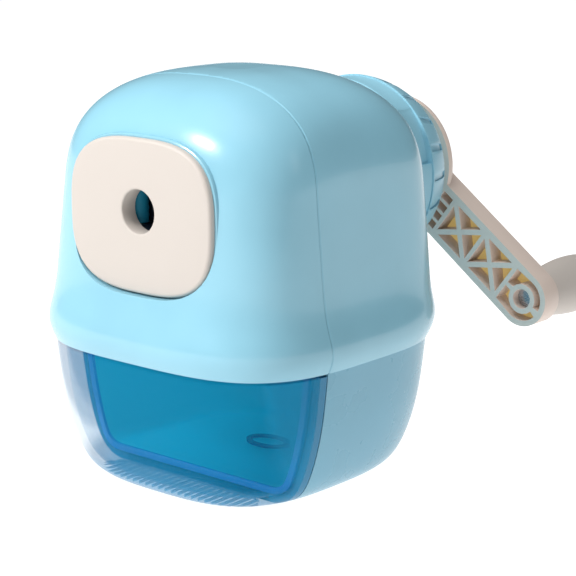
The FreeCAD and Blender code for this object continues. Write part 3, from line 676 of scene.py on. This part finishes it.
@dataclass(frozen=True)
class ClearFront:
    """Clear plastic that shows more of its colour in its thick floor and at its corners, where the
    extra opacity is a painted reflection of the studio on the shell turning away.
    """

    name: str
    colour: Triple
    roughness: float = 0.1
    alpha: float = 0.17
    ior: float = 1.25
    # At the corners the higher opacity is painted reflection; in the floor it is the real
    # thickness.
    thick_and_sheen_alpha: float = 0.5
    floor_z: Point = (3.0, 8.0)
    corner_sheen_x: Point = (33.0, 35.5)

    def build(self) -> bpy.types.Material:
        """Make the material."""
        paint = Paint(self.name)
        across = paint.along("X")
        # Opaque towards the corners as painted reflection, and towards the floor for its
        # thickness.
        left, right = (across * -1).ramp(*self.corner_sheen_x), across.ramp(*self.corner_sheen_x)
        thin = paint.along("Z").ramp(*self.floor_z) * (1 - left) * (1 - right)
        paint.set(Base_Color=self.colour, IOR=self.ior, Roughness=self.roughness,
                  Alpha=self.thick_and_sheen_alpha - thin * (self.thick_and_sheen_alpha - self.alpha))
        return paint.material


@dataclass(frozen=True)
class Bin(Moulded):
    """Teal plastic with a painted glow for the light that passes into the bin, brighter on the
    left and fading towards the right.
    """

    # The far colour is the dark end of the painted glow, which fades along X.
    far: Triple = (0.0, 0.1, 0.18)
    painted_glow_fade_x: Point = (-30.0, 28.0)

    def build(self) -> bpy.types.Material:
        """Make the material."""
        paint = Paint(self.name)
        shade = paint.mix(paint.along("X").ramp(*self.painted_glow_fade_x), self.painted_glow_colour, self.far)
        paint.set(Base_Color=self.tint(paint), IOR=PLASTIC_IOR, Roughness=self.roughness,
                  Emission_Color=shade, Emission_Strength=self.painted_glow_strength)
        return paint.material


@dataclass(frozen=True)
class Rubber:
    """Dull elastic rubber with a fine pebbled skin."""

    name: str
    colour: Triple

    def build(self) -> bpy.types.Material:
        """Make the material."""
        paint = Paint(self.name)
        pale = tuple(min(1.0, c * 1.25 + 0.004) for c in self.colour)
        paint.set(Base_Color=paint.mix(paint.noise(1.6, detail=5.0), self.colour, pale),
                  Roughness=paint.noise(4.0) * 0.15 + 0.55)
        paint.relief(paint.noise(0.5), 0.03)
        return paint.material


@dataclass(frozen=True)
class Metal:
    """Metal with fine marks that run along one axis."""

    name: str
    colour: Triple
    roughness: float = 0.3
    stretch: Triple = (1.0, 14.0, 1.0)

    def build(self) -> bpy.types.Material:
        """Make the material."""
        paint = Paint(self.name)
        marks = paint.noise(0.3, self.stretch, 3.0)
        worn = tuple(c * 0.72 for c in self.colour)
        paint.set(Base_Color=paint.mix(paint.noise(5.0), worn, self.colour), Metallic=1.0,
                  Roughness=marks * 0.2 + (self.roughness - 0.1))
        paint.relief(marks, 0.01)
        return paint.material


@dataclass(frozen=True)
class Finishes:
    """All materials of the sharpener."""

    body: Moulded = Moulded("body_blue", srgb(148, 203, 222), 0.24, coat=0.35)
    # The base's blue is the body's blue darkened, as painted shade on the tub under the skirt.
    base: Moulded = Moulded("base_blue", srgb(118, 180, 204), 0.28, coat=0.25)
    cap: Moulded = Moulded("cap_blue", srgb(148, 202, 221), 0.36, coat=0.1)
    cream: Moulded = Moulded("cream_plastic", srgb(203, 194, 186), 0.5, drift=0.015)
    arm: ArmPlastic = ArmPlastic("crank_beige", srgb(226, 208, 196), 0.42, drift=0.03)
    navy: Moulded = Moulded("navy_plastic", srgb(24, 38, 58), 0.45)
    white: Moulded = Moulded("white_plastic", srgb(232, 232, 228), 0.5, drift=0.03)
    grey: Moulded = Moulded("grey_plastic", srgb(150, 152, 156), 0.5)
    window: ClearFront = ClearFront("clear_blue", srgb(25, 150, 195))
    flange: Moulded = Moulded("clear_blue_flange", srgb(30, 128, 170), 0.2)
    # The bin and the band glow: painted light for the light that passes through the clear blue
    # plastic.
    bin: Bin = Bin("clear_blue_bin", srgb(0, 138, 172), 0.3, painted_glow_strength=0.55,
                   painted_glow_colour=(0.0, 0.26, 0.4))
    band: Moulded = Moulded("clear_blue_band", srgb(35, 118, 195), 0.2, painted_glow_strength=0.2,
                            painted_glow_colour=(0.01, 0.14, 0.45))
    mark: Moulded = Moulded("clear_blue_mark", srgb(10, 70, 160), 0.2)
    roller: Rubber = Rubber("teal_rubber", srgb(0, 128, 158))
    pad: Rubber = Rubber("pad_rubber", srgb(70, 72, 76))
    steel: Metal = Metal("steel", srgb(200, 202, 206), 0.28)
    tool: Metal = Metal("tool_steel", srgb(165, 167, 172), 0.34)
    brass: Metal = Metal("brass", srgb(215, 178, 100), 0.3)


class Shop:
    """Builds each finish once and hands it out."""

    def __init__(self, finishes: Finishes) -> None:
        """Keep the list of finishes."""
        self.finishes = finishes
        self.made: dict[str, bpy.types.Material] = {}

    def get(self, name: str) -> bpy.types.Material:
        """Return the material of a finish, made on first use."""
        if name not in self.made:
            self.made[name] = getattr(self.finishes, name).build()
        return self.made[name]


# ---------- sub-assemblies ----------

def disc(name: str, profile: Sequence[Point], ends: Ends, sides: int = 64,
         x: float = 0.0) -> Shape:
    """Round shape about a line along Y, as (radius, y) points in order.

    Args:
        name: Name of the shape.
        profile: Radii and places.
        ends: How it is closed.
        sides: Corners of each circle.
        x: Place of the line across the arm.

    Returns:
        The shape, stacked along Z, ready for on_axis.
    """
    shape = Shape(name)
    with shape.editing():
        shape.stack([shape.circle(-y, radius, sides, x) for radius, y in profile], ends)
    return shape


def rod(radius: float, y0: float, y1: float, sides: int = 64, x: float = 0.0) -> Shape:
    """Closed cylinder along Y, ready for on_axis."""
    return disc("rod", ((radius, y0), (radius, y1)), Ends.CAPPED, sides, x)


def block(x0: float, x1: float, y0: float, y1: float, z0: float, z1: float) -> Shape:
    """Closed block between two corners, in the part's own frame."""
    shape = Shape("block")
    with shape.editing():
        ring = shape.polygon(z0, ((x0, y0), (x1, y0), (x1, y1), (x0, y1)))
        shape.extrude(ring, z1)
        shape.pick(lambda v, n: abs(v.co.z - z0) < 1e-4)
        shape.face_out()
    return shape


def quarter(radius: float, steps: int) -> list[Point]:
    """Points of a rounded edge, from its side at step 0 to its face at the last step."""
    angles = [i / steps * math.pi / 2 for i in range(steps + 1)]
    return [(radius * (1 - math.cos(a)), radius * (1 - math.sin(a))) for a in angles]


def squircle(half: Point, rings: Sequence[Point], drop: float) -> Shape:
    """Closed shape along Y with the face plate's outline.

    Args:
        half: Half width and half height.
        rings: How far each outline is moved inward, and where it lies along Y.
        drop: How far its middle is below the pencil axis.

    Returns:
        The shape in the part's own frame.
    """
    shape = Shape("squircle")
    with shape.editing():
        row = (half[0], half[1], half[1], 3.0, 3.0)
        shape.stack([shape.outline(-y, row, inset) for inset, y in rings], Ends.CAPPED)
    shape.move(Matrix.Translation((0, -drop, 0)))
    return shape.on_axis()


@dataclass
class Housing:
    """Front and rear shell of the body."""

    shop: Shop
    wall: float = 2.2
    seam: float = 0.3
    plate: Point = (23.6, 19.1)
    drop: float = 1.2
    land_y: float = -34.5
    land_end: float = -31.6
    neck: float = 8.7
    lip: float = 0.38
    seat_r: float = 24.6
    seat_y: float = 38.4
    bore_r: float = 21.0

    def shell(self, name: str, side: int) -> Shape:
        """One half of the thin-walled body, with a small groove where the halves meet.

        Args:
            name: Name of the shape.
            side: -1 for the front half and 1 for the rear half.

        Returns:
            The closed wall.
        """
        shape = Shape(name)
        with shape.editing():
            rings = [shape.outline(row[0], row[1:]) for row in HOUSING]
            rise = TOP_Z - DOME_Z
            rings += [shape.outline(DOME_Z + step * rise, dome_row(step)) for step in DOME_STEPS]
            shape.stack(rings, Ends.LAST_GRID)
        shape.refine(2)
        edge = SPLIT_Y + side * self.seam
        with shape.editing():
            shape.keep(edge, side)
            shape.pick(lambda v, n: abs(v.co.y - edge) < 1e-4)
            bpy.ops.mesh.extrude_edges_move(
                TRANSFORM_OT_translate={"value": (0, -side * self.seam, 0)})
            bpy.ops.transform.resize(value=(0.993, 1, 0.993), center_override=(0, SPLIT_Y, 62))
            shape.face_out()
        return shape.thicken(self.wall)

    def front(self) -> Shape:
        """Front shell with the seat of the face plate."""
        shape = self.shell("front_shell", -1)
        x, z = self.plate
        shape.join(squircle((x, z), ((0.0, self.land_end), (0.0, self.land_y + 0.5),
                                     (0.12, self.land_y + 0.15), (0.4, self.land_y)), self.drop))
        shape.cut(squircle((x, z), ((self.lip, -60.0), (self.lip, self.land_y + 0.05)),
                           self.drop))
        return shape.cut(rod(self.neck, -60.0, -20.0).on_axis())

    def rear(self) -> Shape:
        """Rear shell with the round seat of the cap."""
        shape = self.shell("rear_shell", 1)
        shape.join(rod(self.seat_r, 31.0, self.seat_y, 128).on_axis())
        return shape.cut(rod(self.bore_r, 0.0, 60.0, 128).on_axis())

    def build(self) -> None:
        """Make and dress both shells."""
        Piece(self.front(), "housing", "body_blue", "front_housing", self.shop.get("body"))
        Piece(self.rear(), "housing", "body_blue", "rear_housing", self.shop.get("body"))


@dataclass
class FacePlate:
    """Cream plate with the pencil hole and its neck."""

    shop: Shop
    half: Point = (22.9, 18.4)
    drop: float = 1.2
    face_y: float = -36.0
    back_y: float = -34.5
    hole_r: float = 5.25
    neck_r: float = 8.5
    neck_y: float = -31.6
    edge: float = 0.9
    hole_edge: float = 0.35

    def build(self) -> None:
        """Make and dress the plate."""
        shape = Shape("hole_plate")
        x, z = self.half
        with shape.editing():
            row = (x, z, z, 3.0, 3.0)
            rings = [shape.outline(-self.back_y, row)]
            for inset, deep in quarter(self.edge, 5):
                rings.append(shape.outline(-(self.face_y + deep), row, inset))
            rings.append(shape.outline(-self.face_y, (x * 0.6, z * 0.6, z * 0.6, 2.6, 2.6)))
            rings.append(self.ring(shape, self.face_y, self.hole_r + self.edge))
            for deep, wide in quarter(self.hole_edge, 2):
                rings.append(self.ring(shape, self.face_y + deep, self.hole_r + wide))
            rings += [self.ring(shape, self.neck_y, self.hole_r),
                      self.ring(shape, self.neck_y, self.neck_r),
                      self.ring(shape, self.back_y, self.neck_r)]
            shape.stack(rings, Ends.JOINED)
        shape.move(Matrix.Translation((0, -self.drop, 0))).on_axis()
        Piece(shape, "housing", "cream_plastic", "face_plate", self.shop.get("cream"), 50)

    def ring(self, shape: Shape, y: float, radius: float) -> int:
        """Round outline about the pencil axis in the plate's own stack."""
        return shape.circle(-y, radius, 4 * CORNER_STEPS, 0.0, self.drop)


@dataclass
class Base:
    """Tub that the housing stands on, and the deck over the drawer."""

    shop: Shop
    wall: float = 2.2
    deck: float = 2.0
    slot: tuple[float, float, float, float] = (-13.0, 13.0, -9.0, 19.0)

    def build(self) -> None:
        """Make and dress the tub and the deck."""
        tub = base_block("tub_shell", BASE_BOTTOM, SKIRT_Z, Ends.FIRST_GRID)
        with tub.editing():
            tub.keep(SPLIT_Y, 1)
        tub.thicken(self.wall)
        Piece(tub, "housing", "base_blue", "base_tub", self.shop.get("base"))
        deck = Shape("base_deck")
        with deck.editing():
            half, front, rear, *powers = between(HOUSING, SKIRT_Z)
            inset = self.wall + 0.1
            row = (half, front, rear, *powers)
            deck.stack([deck.outline(SKIRT_Z, row, inset),
                        deck.outline(SKIRT_Z + self.deck, row, inset)], Ends.CAPPED)
        deck.cut(block(*self.slot, SKIRT_Z - 1, SKIRT_Z + self.deck + 1)).soften(0.25)
        Piece(deck, "housing", "base_blue", "base_tub", self.shop.get("base"))


def base_block(name: str, bottom: float, top: float, ends: Ends) -> Shape:
    """Outside of the base and the drawer front between two heights."""
    shape = Shape(name)
    with shape.editing():
        heights = [bottom] + [r[0] for r in BASE if bottom + 0.5 < r[0] < top - 0.5] + [top]
        shape.stack([shape.outline(z, between(BASE, z)) for z in heights], ends)
    return shape.refine(2)


@dataclass
class Drawer:
    """See-through front that wraps the corners, and the bin behind it."""

    shop: Shop
    wall: float = 2.0
    top: float = 34.4
    bottom: float = 0.8
    front_y: float = -15.8
    bin_floor: float = 3.3
    bin_gap: float = 3.6
    bin_wall: float = 1.6
    mark_place: Triple = (2.5, 7.0, 0.0)
    mark_half: Point = (6.4, 4.4)
    mark_rise: float = 0.7
    mark_line: float = 1.3
    sink: float = 0.2
    band_wall: float = 1.6
    band_deep: float = 0.9
    band_gap: float = 0.05
    grip: Triple = (25.0, -29.0, -19.0)
    grip_depth: float = 0.9
    pitch: float = 2.2
    rib: float = 0.8
    insets: tuple[Point, ...] = ((3.3, 3.4), (3.5, 2.1), (4.2, 1.0), (5.5, 0.3), (7.4, 0.0),
                                 (12.0, 0.0), (18.0, 0.0), (25.0, 0.0), (33.5, 0.0))

    def bin_block(self, name: str, ends: Ends, above: tuple[Point, ...] = ()) -> Shape:
        """Outside of the bin, longer in front than it ends up."""
        shape = Shape(name)
        with shape.editing():
            rings = []
            for height, inset in self.insets + above:
                wide, _, rear, _, power = between(BASE, height)
                row = (wide - self.bin_gap, 60.0, rear - self.bin_gap, 16.0, power)
                rings.append(shape.outline(height, row, inset))
            shape.stack(rings, ends)
        return shape

    def bin(self) -> Shape:
        """Open tray behind the clear front."""
        shape = self.bin_block("drawer_bin", Ends.FIRST_GRID)
        shape.refine(1)
        with shape.editing():
            shape.keep(self.front_y - self.wall, 1)
        return shape.thicken(self.bin_wall)

    def mark(self) -> Shape:
        """Raised plain oval on the bin's floor."""
        shape = Shape("drawer_mark")
        floor = self.bin_floor + self.bin_wall
        with shape.editing():
            low, high = floor - self.sink, floor + self.mark_rise
            x, y = self.mark_half
            shape.stack([shape.outline(height, (x, y, y, 2.0, 2.0), inset) for height, inset in
                         ((low, 0), (high, 0), (high, self.mark_line), (low, self.mark_line))],
                        Ends.JOINED)
        return shape.move(Matrix.Translation(self.mark_place))

    def front(self) -> Shape:
        """Clear shell in front, with the ribbed finger grip under it."""
        shape = base_block("drawer_front", self.bottom, self.top, Ends.FIRST_GRID)
        with shape.editing():
            shape.keep(self.front_y - self.wall, -1)
        return shape.thicken(self.wall).cut(self.grip_cut())

    def grip_cut(self) -> Shape:
        """Slots between the ribs of the finger grip."""
        reach, y0, y1 = self.grip
        radius = (y1 - y0) / 2
        ceiling = self.bottom + self.grip_depth
        stadium = Shape("stadium")
        with stadium.editing():
            ring = stadium.circle(-1.0, radius, 32)
            for side in (-1, 1):
                stadium.pick(lambda v, n: v.co.x * side > 0.01)
                bpy.ops.transform.translate(value=(side * (reach - radius), 0, 0))
            stadium.pick(lambda v, n: True)
            bpy.ops.transform.translate(value=(0, (y0 + y1) / 2, 0))
            stadium.extrude(ring, ceiling)
            stadium.face_out()
        count = int(reach / self.pitch)
        ribs = [block(i * self.pitch - self.rib / 2, i * self.pitch + self.rib / 2, y0 - 1, y1 + 1,
                      -2.0, ceiling + 1) for i in range(-count, count + 1)]
        return stadium.cut(ribs[0].add(*ribs[1:]))

    def flange(self) -> Shape:
        """Frame behind the clear front that the bin opens through."""
        shape = base_block("drawer_flange", self.bottom, self.top, Ends.FIRST_GRID)
        with shape.editing():
            shape.pick(lambda v, n: v.is_boundary)
            bpy.ops.mesh.edge_face_add()
            shape.keep(self.front_y, -1, True)
            shape.keep(self.front_y - self.wall, 1, True)
            shape.face_out()
        return shape.cut(self.bin_block("opening", Ends.CAPPED, ((36.0, 0.0),)))

    def band(self) -> Shape:
        """Thick edge round the bin's mouth."""
        shape = self.bin_block("drawer_band", Ends.FIRST_GRID)
        shape.refine(1)
        with shape.editing():
            shape.keep(self.front_y - self.wall - self.band_deep, 1)
            shape.keep(self.front_y - self.wall - self.band_gap, -1)
        return shape.thicken(self.band_wall).soften(0.2)

    def build(self) -> None:
        """Make and dress the drawer."""
        for shape, finish in ((self.front(), "window"), (self.flange(), "flange"),
                              (self.bin(), "bin"), (self.band(), "band"),
                              (self.mark(), "mark")):
            Piece(shape, "drawer", "clear_blue", "drawer", self.shop.get(finish))


@dataclass
class RearCap:
    """Turning cap with a notched grip band and three thumb ramps."""

    shop: Shop
    sides: int = 160
    notches: int = 20
    notch_depth: float = 0.5
    radius: float = 24.6
    band_r: float = 21.6
    band_y: Point = (46.8, 55.9)
    collar_r: float = 24.3
    collar_y: Point = (39.9, 46.2)
    ramp_depth: float = 1.6
    ramp_span: float = 36.0
    ramps: tuple[float, ...] = (8.0, 128.0, 248.0)
    profile: tuple[Point, ...] = (
        (21.3, 38.7), (24.1, 38.7), (24.6, 39.2), (24.6, 39.9), (24.6, 46.2), (25.0, 46.2),
        (24.95, 46.8), (24.6, 48.4), (24.15, 50.0), (23.4, 52.2), (22.45, 54.3), (21.5, 55.8),
        (20.6, 56.35), (19.6, 56.6), (12.0, 56.6), (6.0, 56.6), (6.0, 53.5), (18.6, 53.5),
        (19.6, 52.3), (21.3, 49.2))

    def build(self) -> None:
        """Make and dress the cap."""
        shape = disc("turning_cap", self.profile, Ends.JOINED, self.sides)
        with shape.editing():
            self.notch(shape)
            for start in self.ramps:
                self.ramp(shape, start)
            shape.face_out()
        shape.soften(0.12, 2, 32).on_axis()
        Piece(shape, "rear_cap", "cap_blue", "rear_cap", self.shop.get("cap"), 32)

    def notch(self, shape: Shape) -> None:
        """Press the grip notches into the band."""
        pitch = 360 / self.notches
        width = 360 / self.sides

        def in_notch(face: bmesh.types.BMFace) -> bool:
            """Whether a face of the band lies in a notch."""
            middle = face.calc_center_median()
            radius = math.hypot(middle.x, middle.y)
            angle = math.degrees(math.atan2(middle.y, middle.x)) % pitch
            off = min(angle, pitch - angle)
            return (radius > self.band_r and self.band_y[0] < -middle.z < self.band_y[1]
                    and off < width)

        shape.pick_faces(in_notch)
        bpy.ops.mesh.extrude_region_shrink_fatten(
            TRANSFORM_OT_shrink_fatten={"value": -self.notch_depth})

    def ramp(self, shape: Shape, start: float) -> None:
        """Press one thumb ramp into the collar.

        Args:
            shape: The cap.
            start: Angle of its deep end in degrees, from +X towards +Z.
        """
        def turned(place: Vector) -> float:
            """Degrees past the deep end."""
            return (math.degrees(math.atan2(place.y, place.x)) - start) % 360

        def in_ramp(face: bmesh.types.BMFace) -> bool:
            """Whether a face of the collar lies in the ramp."""
            middle = face.calc_center_median()
            radius = math.hypot(middle.x, middle.y)
            return (radius > self.collar_r and self.collar_y[0] < -middle.z < self.collar_y[1]
                    and turned(middle) < self.ramp_span)

        shape.pick_faces(in_ramp)
        bpy.ops.mesh.extrude_region_move(TRANSFORM_OT_translate={"value": (0, 0, 0)})
        mesh = bmesh.from_edit_mesh(shape.obj.data)
        for corner in [v for v in mesh.verts if v.select]:
            share = turned(corner.co) / self.ramp_span
            share = 0.0 if share > 1.5 else min(share, 1.0)
            depth = self.ramp_depth * (1 - share) + 0.02
            factor = (self.radius - depth) / math.hypot(corner.co.x, corner.co.y)
            corner.co.x *= factor
            corner.co.y *= factor
        bmesh.update_edit_mesh(shape.obj.data)


@dataclass
class Crank:
    """Crank arm with its pockets, hub cap and turning knob."""

    shop: Shop
    angle: float = -36.9
    reach: float = 53.2
    face: float = 61.8
    thick: float = 6.6
    half: float = 7.3
    wall: float = 1.9
    pocket: float = 4.6
    rib: float = 1.2
    neck: Point = (6.5, 57.2)
    shaft_r: float = 3.0
    shaft_stop: float = 2.2
    cap_r: float = 7.0
    cap_deep: float = 1.4
    pin: Point = (2.2, 2.6)
    through: Point = (50.0, 80.0)
    knob_r: float = 7.6
    knob_bore: float = 2.25
    knob_seat: float = 5.0
    slits: int = 4
    slit_gap: float = 0.9
    slit_long: float = 3.6
    cells: Triple = (21.7, 34.2, 46.7)
    hub: tuple[Point, ...] = ((18.6, 61.8), (18.6, 63.0), (18.3, 64.0), (17.3, 65.2), (15.4, 66.6),
                              (13.4, 67.6), (11.1, 68.4))

    def prism(self, points: Sequence[Point]) -> Shape:
        """Closed prism along Y through the pockets' depth."""
        shape = Shape("pocket")
        with shape.editing():
            ring = shape.polygon(-(self.face - 1), points)
            shape.extrude(ring, -(self.face + self.pocket))
            shape.face_out()
        return shape

    def pockets(self) -> Shape:
        """All pockets of the face towards the body."""
        wide = self.half - self.wall
        half = self.rib / 2
        small = (2 * wide - (self.slits - 1) * self.slit_gap) / self.slits
        cuts = []
        for i in range(self.slits):
            z = -wide + i * (small + self.slit_gap)
            x1 = self.cells[0] - half
            x0 = x1 - self.slit_long
            cuts.append(self.prism(((x0, z), (x1, z), (x1, z + small), (x0, z + small))))
        slack = self.rib * 0.85
        for a, b in zip(self.cells, self.cells[1:]):
            x0, x1, xm = a + half, b - half, (a + b) / 2
            for points in (((x0, slack - wide), (xm - slack, 0), (x0, wide - slack)),
                           ((x1, slack - wide), (x1, wide - slack), (xm + slack, 0)),
                           ((x0 + slack, wide), (xm, slack), (x1 - slack, wide)),
                           ((x0 + slack, -wide), (x1 - slack, -wide), (xm, -slack))):
                cuts.append(self.prism(points))
        x0 = self.cells[-1] + half
        radius = wide + 0.4
        for side in (-1, 1):
            arc = [(self.reach + radius * math.cos(a), side * radius * math.sin(a))
                   for a in (math.radians(d) for d in range(10, 91, 10))]
            boss = [(self.reach + 4 * math.cos(a), side * 4 * math.sin(a))
                    for a in (math.radians(d) for d in range(170, 9, -20))]
            cuts.append(self.prism([(x0, side * 0.5), (x0, side * wide), *reversed(arc),
                                    *reversed(boss)]))
        return cuts[0].add(*cuts[1:])

    def arm(self) -> Shape:
        """Arm, hub and boss in one piece."""
        end = self.face + self.thick
        arm = disc("crank_bar", self.hub, Ends.CAPPED, 96)
        bar = Shape("bar")
        with bar.editing():
            ring = bar.circle(-self.face, self.half, 64, self.reach)
            bar.pick(lambda v, n: v.co.x < self.reach - 0.01)
            bpy.ops.transform.resize(value=(0, 1, 1), center_override=(0, 0, 0))
            bar.extrude(ring, -end)
            bar.face_out()
        near, far = self.through
        pin, head = self.pin
        arm.join(bar, rod(*self.neck, self.face + 1))
        arm.cut(self.pockets(), rod(self.shaft_r, near, end - self.shaft_stop, 48),
                rod(self.cap_r, end - self.cap_deep, far),
                rod(head, near, self.face + self.pocket, 48, self.reach),
                rod(pin, near, far, 48, self.reach))
        return arm.soften(0.22, 2, 40).on_axis(self.angle)

    def build(self) -> None:
        """Make and dress the crank."""
        Piece(self.arm(), "crank", "cream_plastic", "crank_arm", self.shop.get("arm"), 40)
        seat = self.face + self.thick
        button = ((4.2, -1.4), (6.9, -1.4), (6.9, 0.0), (7.6, 0.0), (7.5, 0.5), (7.0, 1.0),
                  (5.8, 1.4), (4.0, 1.7), (2.0, 1.85), (0.3, 1.9))
        cap = disc("hub_button", [(r, seat + y) for r, y in button], Ends.CAPPED).on_axis()
        Piece(cap, "crank", "cream_plastic", "hub_cap", self.shop.get("cream"), 45)
        self.knob(seat + 0.6, seat + 24.6)

    def knob(self, y0: float, y1: float) -> None:
        """Turning knob with its end cap."""
        r, bore, seat = self.knob_r, self.knob_bore, self.knob_seat
        profile = [(bore, y0), (r - 2.4, y0), (r - 1.9, y0 + 0.25), (r - 1.6, y0 + 0.8),
                   (r - 1.35, y0 + 2.2)]
        for step in range(13):
            share = step / 12
            profile.append((r - 1.2 + 1.2 * math.sin(share * math.pi * 0.72) * 0.99,
                            y0 + 4 + share * (y1 - y0 - 6.5)))
        profile += [(r - 1.1, y1 - 1.2), (r - 1.5, y1 - 0.5), (r - 2.2, y1), (seat, y1),
                    (seat, y1 - 3.3), (bore, y1 - 3.3)]
        knob = disc("knob_barrel", profile, Ends.JOINED, 64, self.reach).on_axis(self.angle)
        Piece(knob, "knob", "cream_plastic", "crank_knob", self.shop.get("cream"), 45)
        button = ((0.3, -1.0), (4.2, -1.0), (4.2, -1.6), (4.95, -1.6), (4.95, 0.1), (4.7, 0.3),
                  (3.2, 0.75), (1.6, 0.95), (0.3, 1.0))
        cap = disc("knob_button", [(radius, y1 + y) for radius, y in button], Ends.CAPPED, 64,
                   self.reach).on_axis(self.angle)
        Piece(cap, "knob", "cream_plastic", "knob_cap", self.shop.get("cream"), 45)


@dataclass
class Guide:
    """Rollers behind the pencil hole."""

    shop: Shop
    radius: float = 2.4
    length: float = 8.4
    bore: float = 0.85
    groove: float = 0.14
    rim: float = 0.2
    sides: int = 32
    reach: float = 6.8
    y: float = -28.7
    angles: tuple[float, ...] = (180.0, 60.0, 300.0)

    def barrel(self) -> Shape:
        """First roller, grooved all round, with its middle at the origin."""
        half = self.length / 2
        shape = Shape("roller_barrel_1")
        with shape.editing():
            rings = [shape.circle(-half, self.bore, self.sides)]
            for share in (-1.0, -0.97, -0.8, -0.6, -0.4, -0.2, 0.0, 0.2, 0.4, 0.6, 0.8,
                          0.97, 1.0):
                low = round(share * 5) % 2 == 0 and abs(share) < 0.9
                cut = (self.groove if low else 0.0) + (self.rim if abs(share) == 1.0 else 0.0)
                rings.append(shape.circle(share * half, self.radius - cut, self.sides))
            rings.append(shape.circle(half, self.bore, self.sides))
            shape.stack(rings, Ends.JOINED)
        return shape

    def build(self) -> None:
        """Make one roller and copy it to the three places."""
        first = self.barrel()
        shapes = [first, *(first.twin(f"roller_barrel_{n}") for n in (2, 3))]
        for number, (shape, angle) in enumerate(zip(shapes, self.angles), 1):
            turn = Matrix.Rotation(-math.radians(angle), 4, "Y")
            shape.move(Matrix.Translation((0, self.y, AXIS_Z)) @ turn
                       @ Matrix.Translation((self.reach, 0, 0)))
            Piece(shape, f"roller_{number}", "teal_rubber", f"grip_roller_{number}",
                  self.shop.get("roller"), 30)


@dataclass
class Works:
    """CAD nodes that keep their shape and get their material here."""

    shop: Shop
    finish: dict[str, str] = field(default_factory=lambda: {
        "housing_screws": "steel", "base_screws": "steel", "non_slip_pad": "pad",
        "shavings_chute": "white", "roller_cage": "navy", "roller_pins": "steel",
        "mechanism_frame": "white", "ring_gear": "grey", "cutter_carrier": "grey",
        "helical_cutter": "tool", "cutter_pinion": "steel", "cutter_axle": "steel",
        "thrust_washer": "brass", "crank_shaft": "steel", "cap_bush": "cream",
        "crank_screw": "steel", "knob_pin": "steel"})

    def dress(self, nodes: dict[str, bpy.types.Object]) -> None:
        """Give each carried-over node its material.

        Args:
            nodes: CAD nodes by name.
        """
        for name, finish in self.finish.items():
            mesh = nodes[name].data
            mesh.materials.clear()
            mesh.materials.append(self.shop.get(finish))
            bpy.ops.object.select_all(action="DESELECT")
            nodes[name].select_set(True)
            bpy.context.view_layer.objects.active = nodes[name]
            log.info("%s: dressed in %s", name, finish)


# ---------- studio ----------

@dataclass(frozen=True)
class Softbox:
    """One soft area light that looks at the middle of the sharpener."""

    name: str
    azimuth: float
    elevation: float
    distance: float
    size: Point
    power: float
    seen: bool = True
    target: Triple = (0.0, 0.0, 0.055)

    def build(self) -> None:
        """Add the light, which shows in glossy surfaces only where it is meant to."""
        light = bpy.data.lights.new(self.name, "AREA")
        light.shape = "RECTANGLE"
        light.size, light.size_y = self.size
        light.energy = self.power
        obj = bpy.data.objects.new(self.name, light)
        bpy.context.scene.collection.objects.link(obj)
        a, e = math.radians(self.azimuth), math.radians(self.elevation)
        ahead = Vector((math.sin(a) * math.cos(e), -math.cos(a) * math.cos(e), math.sin(e)))
        obj.location = Vector(self.target) + ahead * self.distance
        obj.rotation_euler = ahead.to_track_quat("Z", "Y").to_euler()
        obj.visible_glossy = self.seen


@dataclass(frozen=True)
class Studio:
    """Pale floor, soft lights and the camera."""

    place: Triple = (0.2948, -0.3274, 0.149)
    azimuth: float = 40.5
    elevation: float = 13.1
    lens: float = 113.1
    ambient: float = 0.1
    floor_glow: float = 0.97
    lights: tuple[Softbox, ...] = (
        Softbox("key", -22.0, 34.0, 0.9, (0.2, 0.12), 6.4),
        Softbox("top", -10.0, 78.0, 0.8, (0.6, 0.6), 5.2, seen=False),
        Softbox("side", 105.0, 25.0, 0.9, (0.12, 0.3), 0.1),
        Softbox("back", 200.0, 40.0, 0.9, (0.5, 0.5), 0.9, seen=False),
    )

    def build(self) -> None:
        """Set up the floor, the lights and the camera."""
        bpy.ops.object.select_all(action="DESELECT")
        bpy.ops.mesh.primitive_plane_add(size=12, location=(0, 0, 0))
        floor = bpy.context.object
        floor.name = "floor"
        paint = Paint("floor_white")
        paint.set(Base_Color=(0.3, 0.3, 0.3), Roughness=0.9, Specular_IOR_Level=0.1,
                  Emission_Color=(1.0, 1.0, 1.0), Emission_Strength=self.floor_glow)
        floor.data.materials.append(paint.material)
        world = bpy.data.worlds.new("studio")
        bpy.context.scene.world = world
        world.use_nodes = True
        sky = world.node_tree.nodes["Background"]
        sky.inputs["Color"].default_value = (0.86, 0.95, 1.0, 1.0)
        sky.inputs["Strength"].default_value = self.ambient
        for light in self.lights:
            light.build()
        camera = bpy.data.objects.new("camera", bpy.data.cameras.new("camera"))
        camera.data.lens = self.lens
        camera.data.clip_start = 0.01
        camera.location = self.place
        camera.rotation_euler = (math.radians(90 - self.elevation), 0, math.radians(self.azimuth))
        bpy.context.scene.collection.objects.link(camera)
        bpy.context.scene.camera = camera
        bpy.context.scene.view_settings.view_transform = "Standard"


def main() -> None:
    """Build the sharpener's looks round its CAD parts."""
    logging.basicConfig(level=logging.INFO, format="%(name)s %(message)s")
    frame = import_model()
    shop = Shop(Finishes())
    Housing(shop).build()
    FacePlate(shop).build()
    Base(shop).build()
    Drawer(shop).build()
    RearCap(shop).build()
    Crank(shop).build()
    Guide(shop).build()
    Works(shop).dress(frame["nodes"])
    Studio().build()


if __name__ == "__main__":
    main()
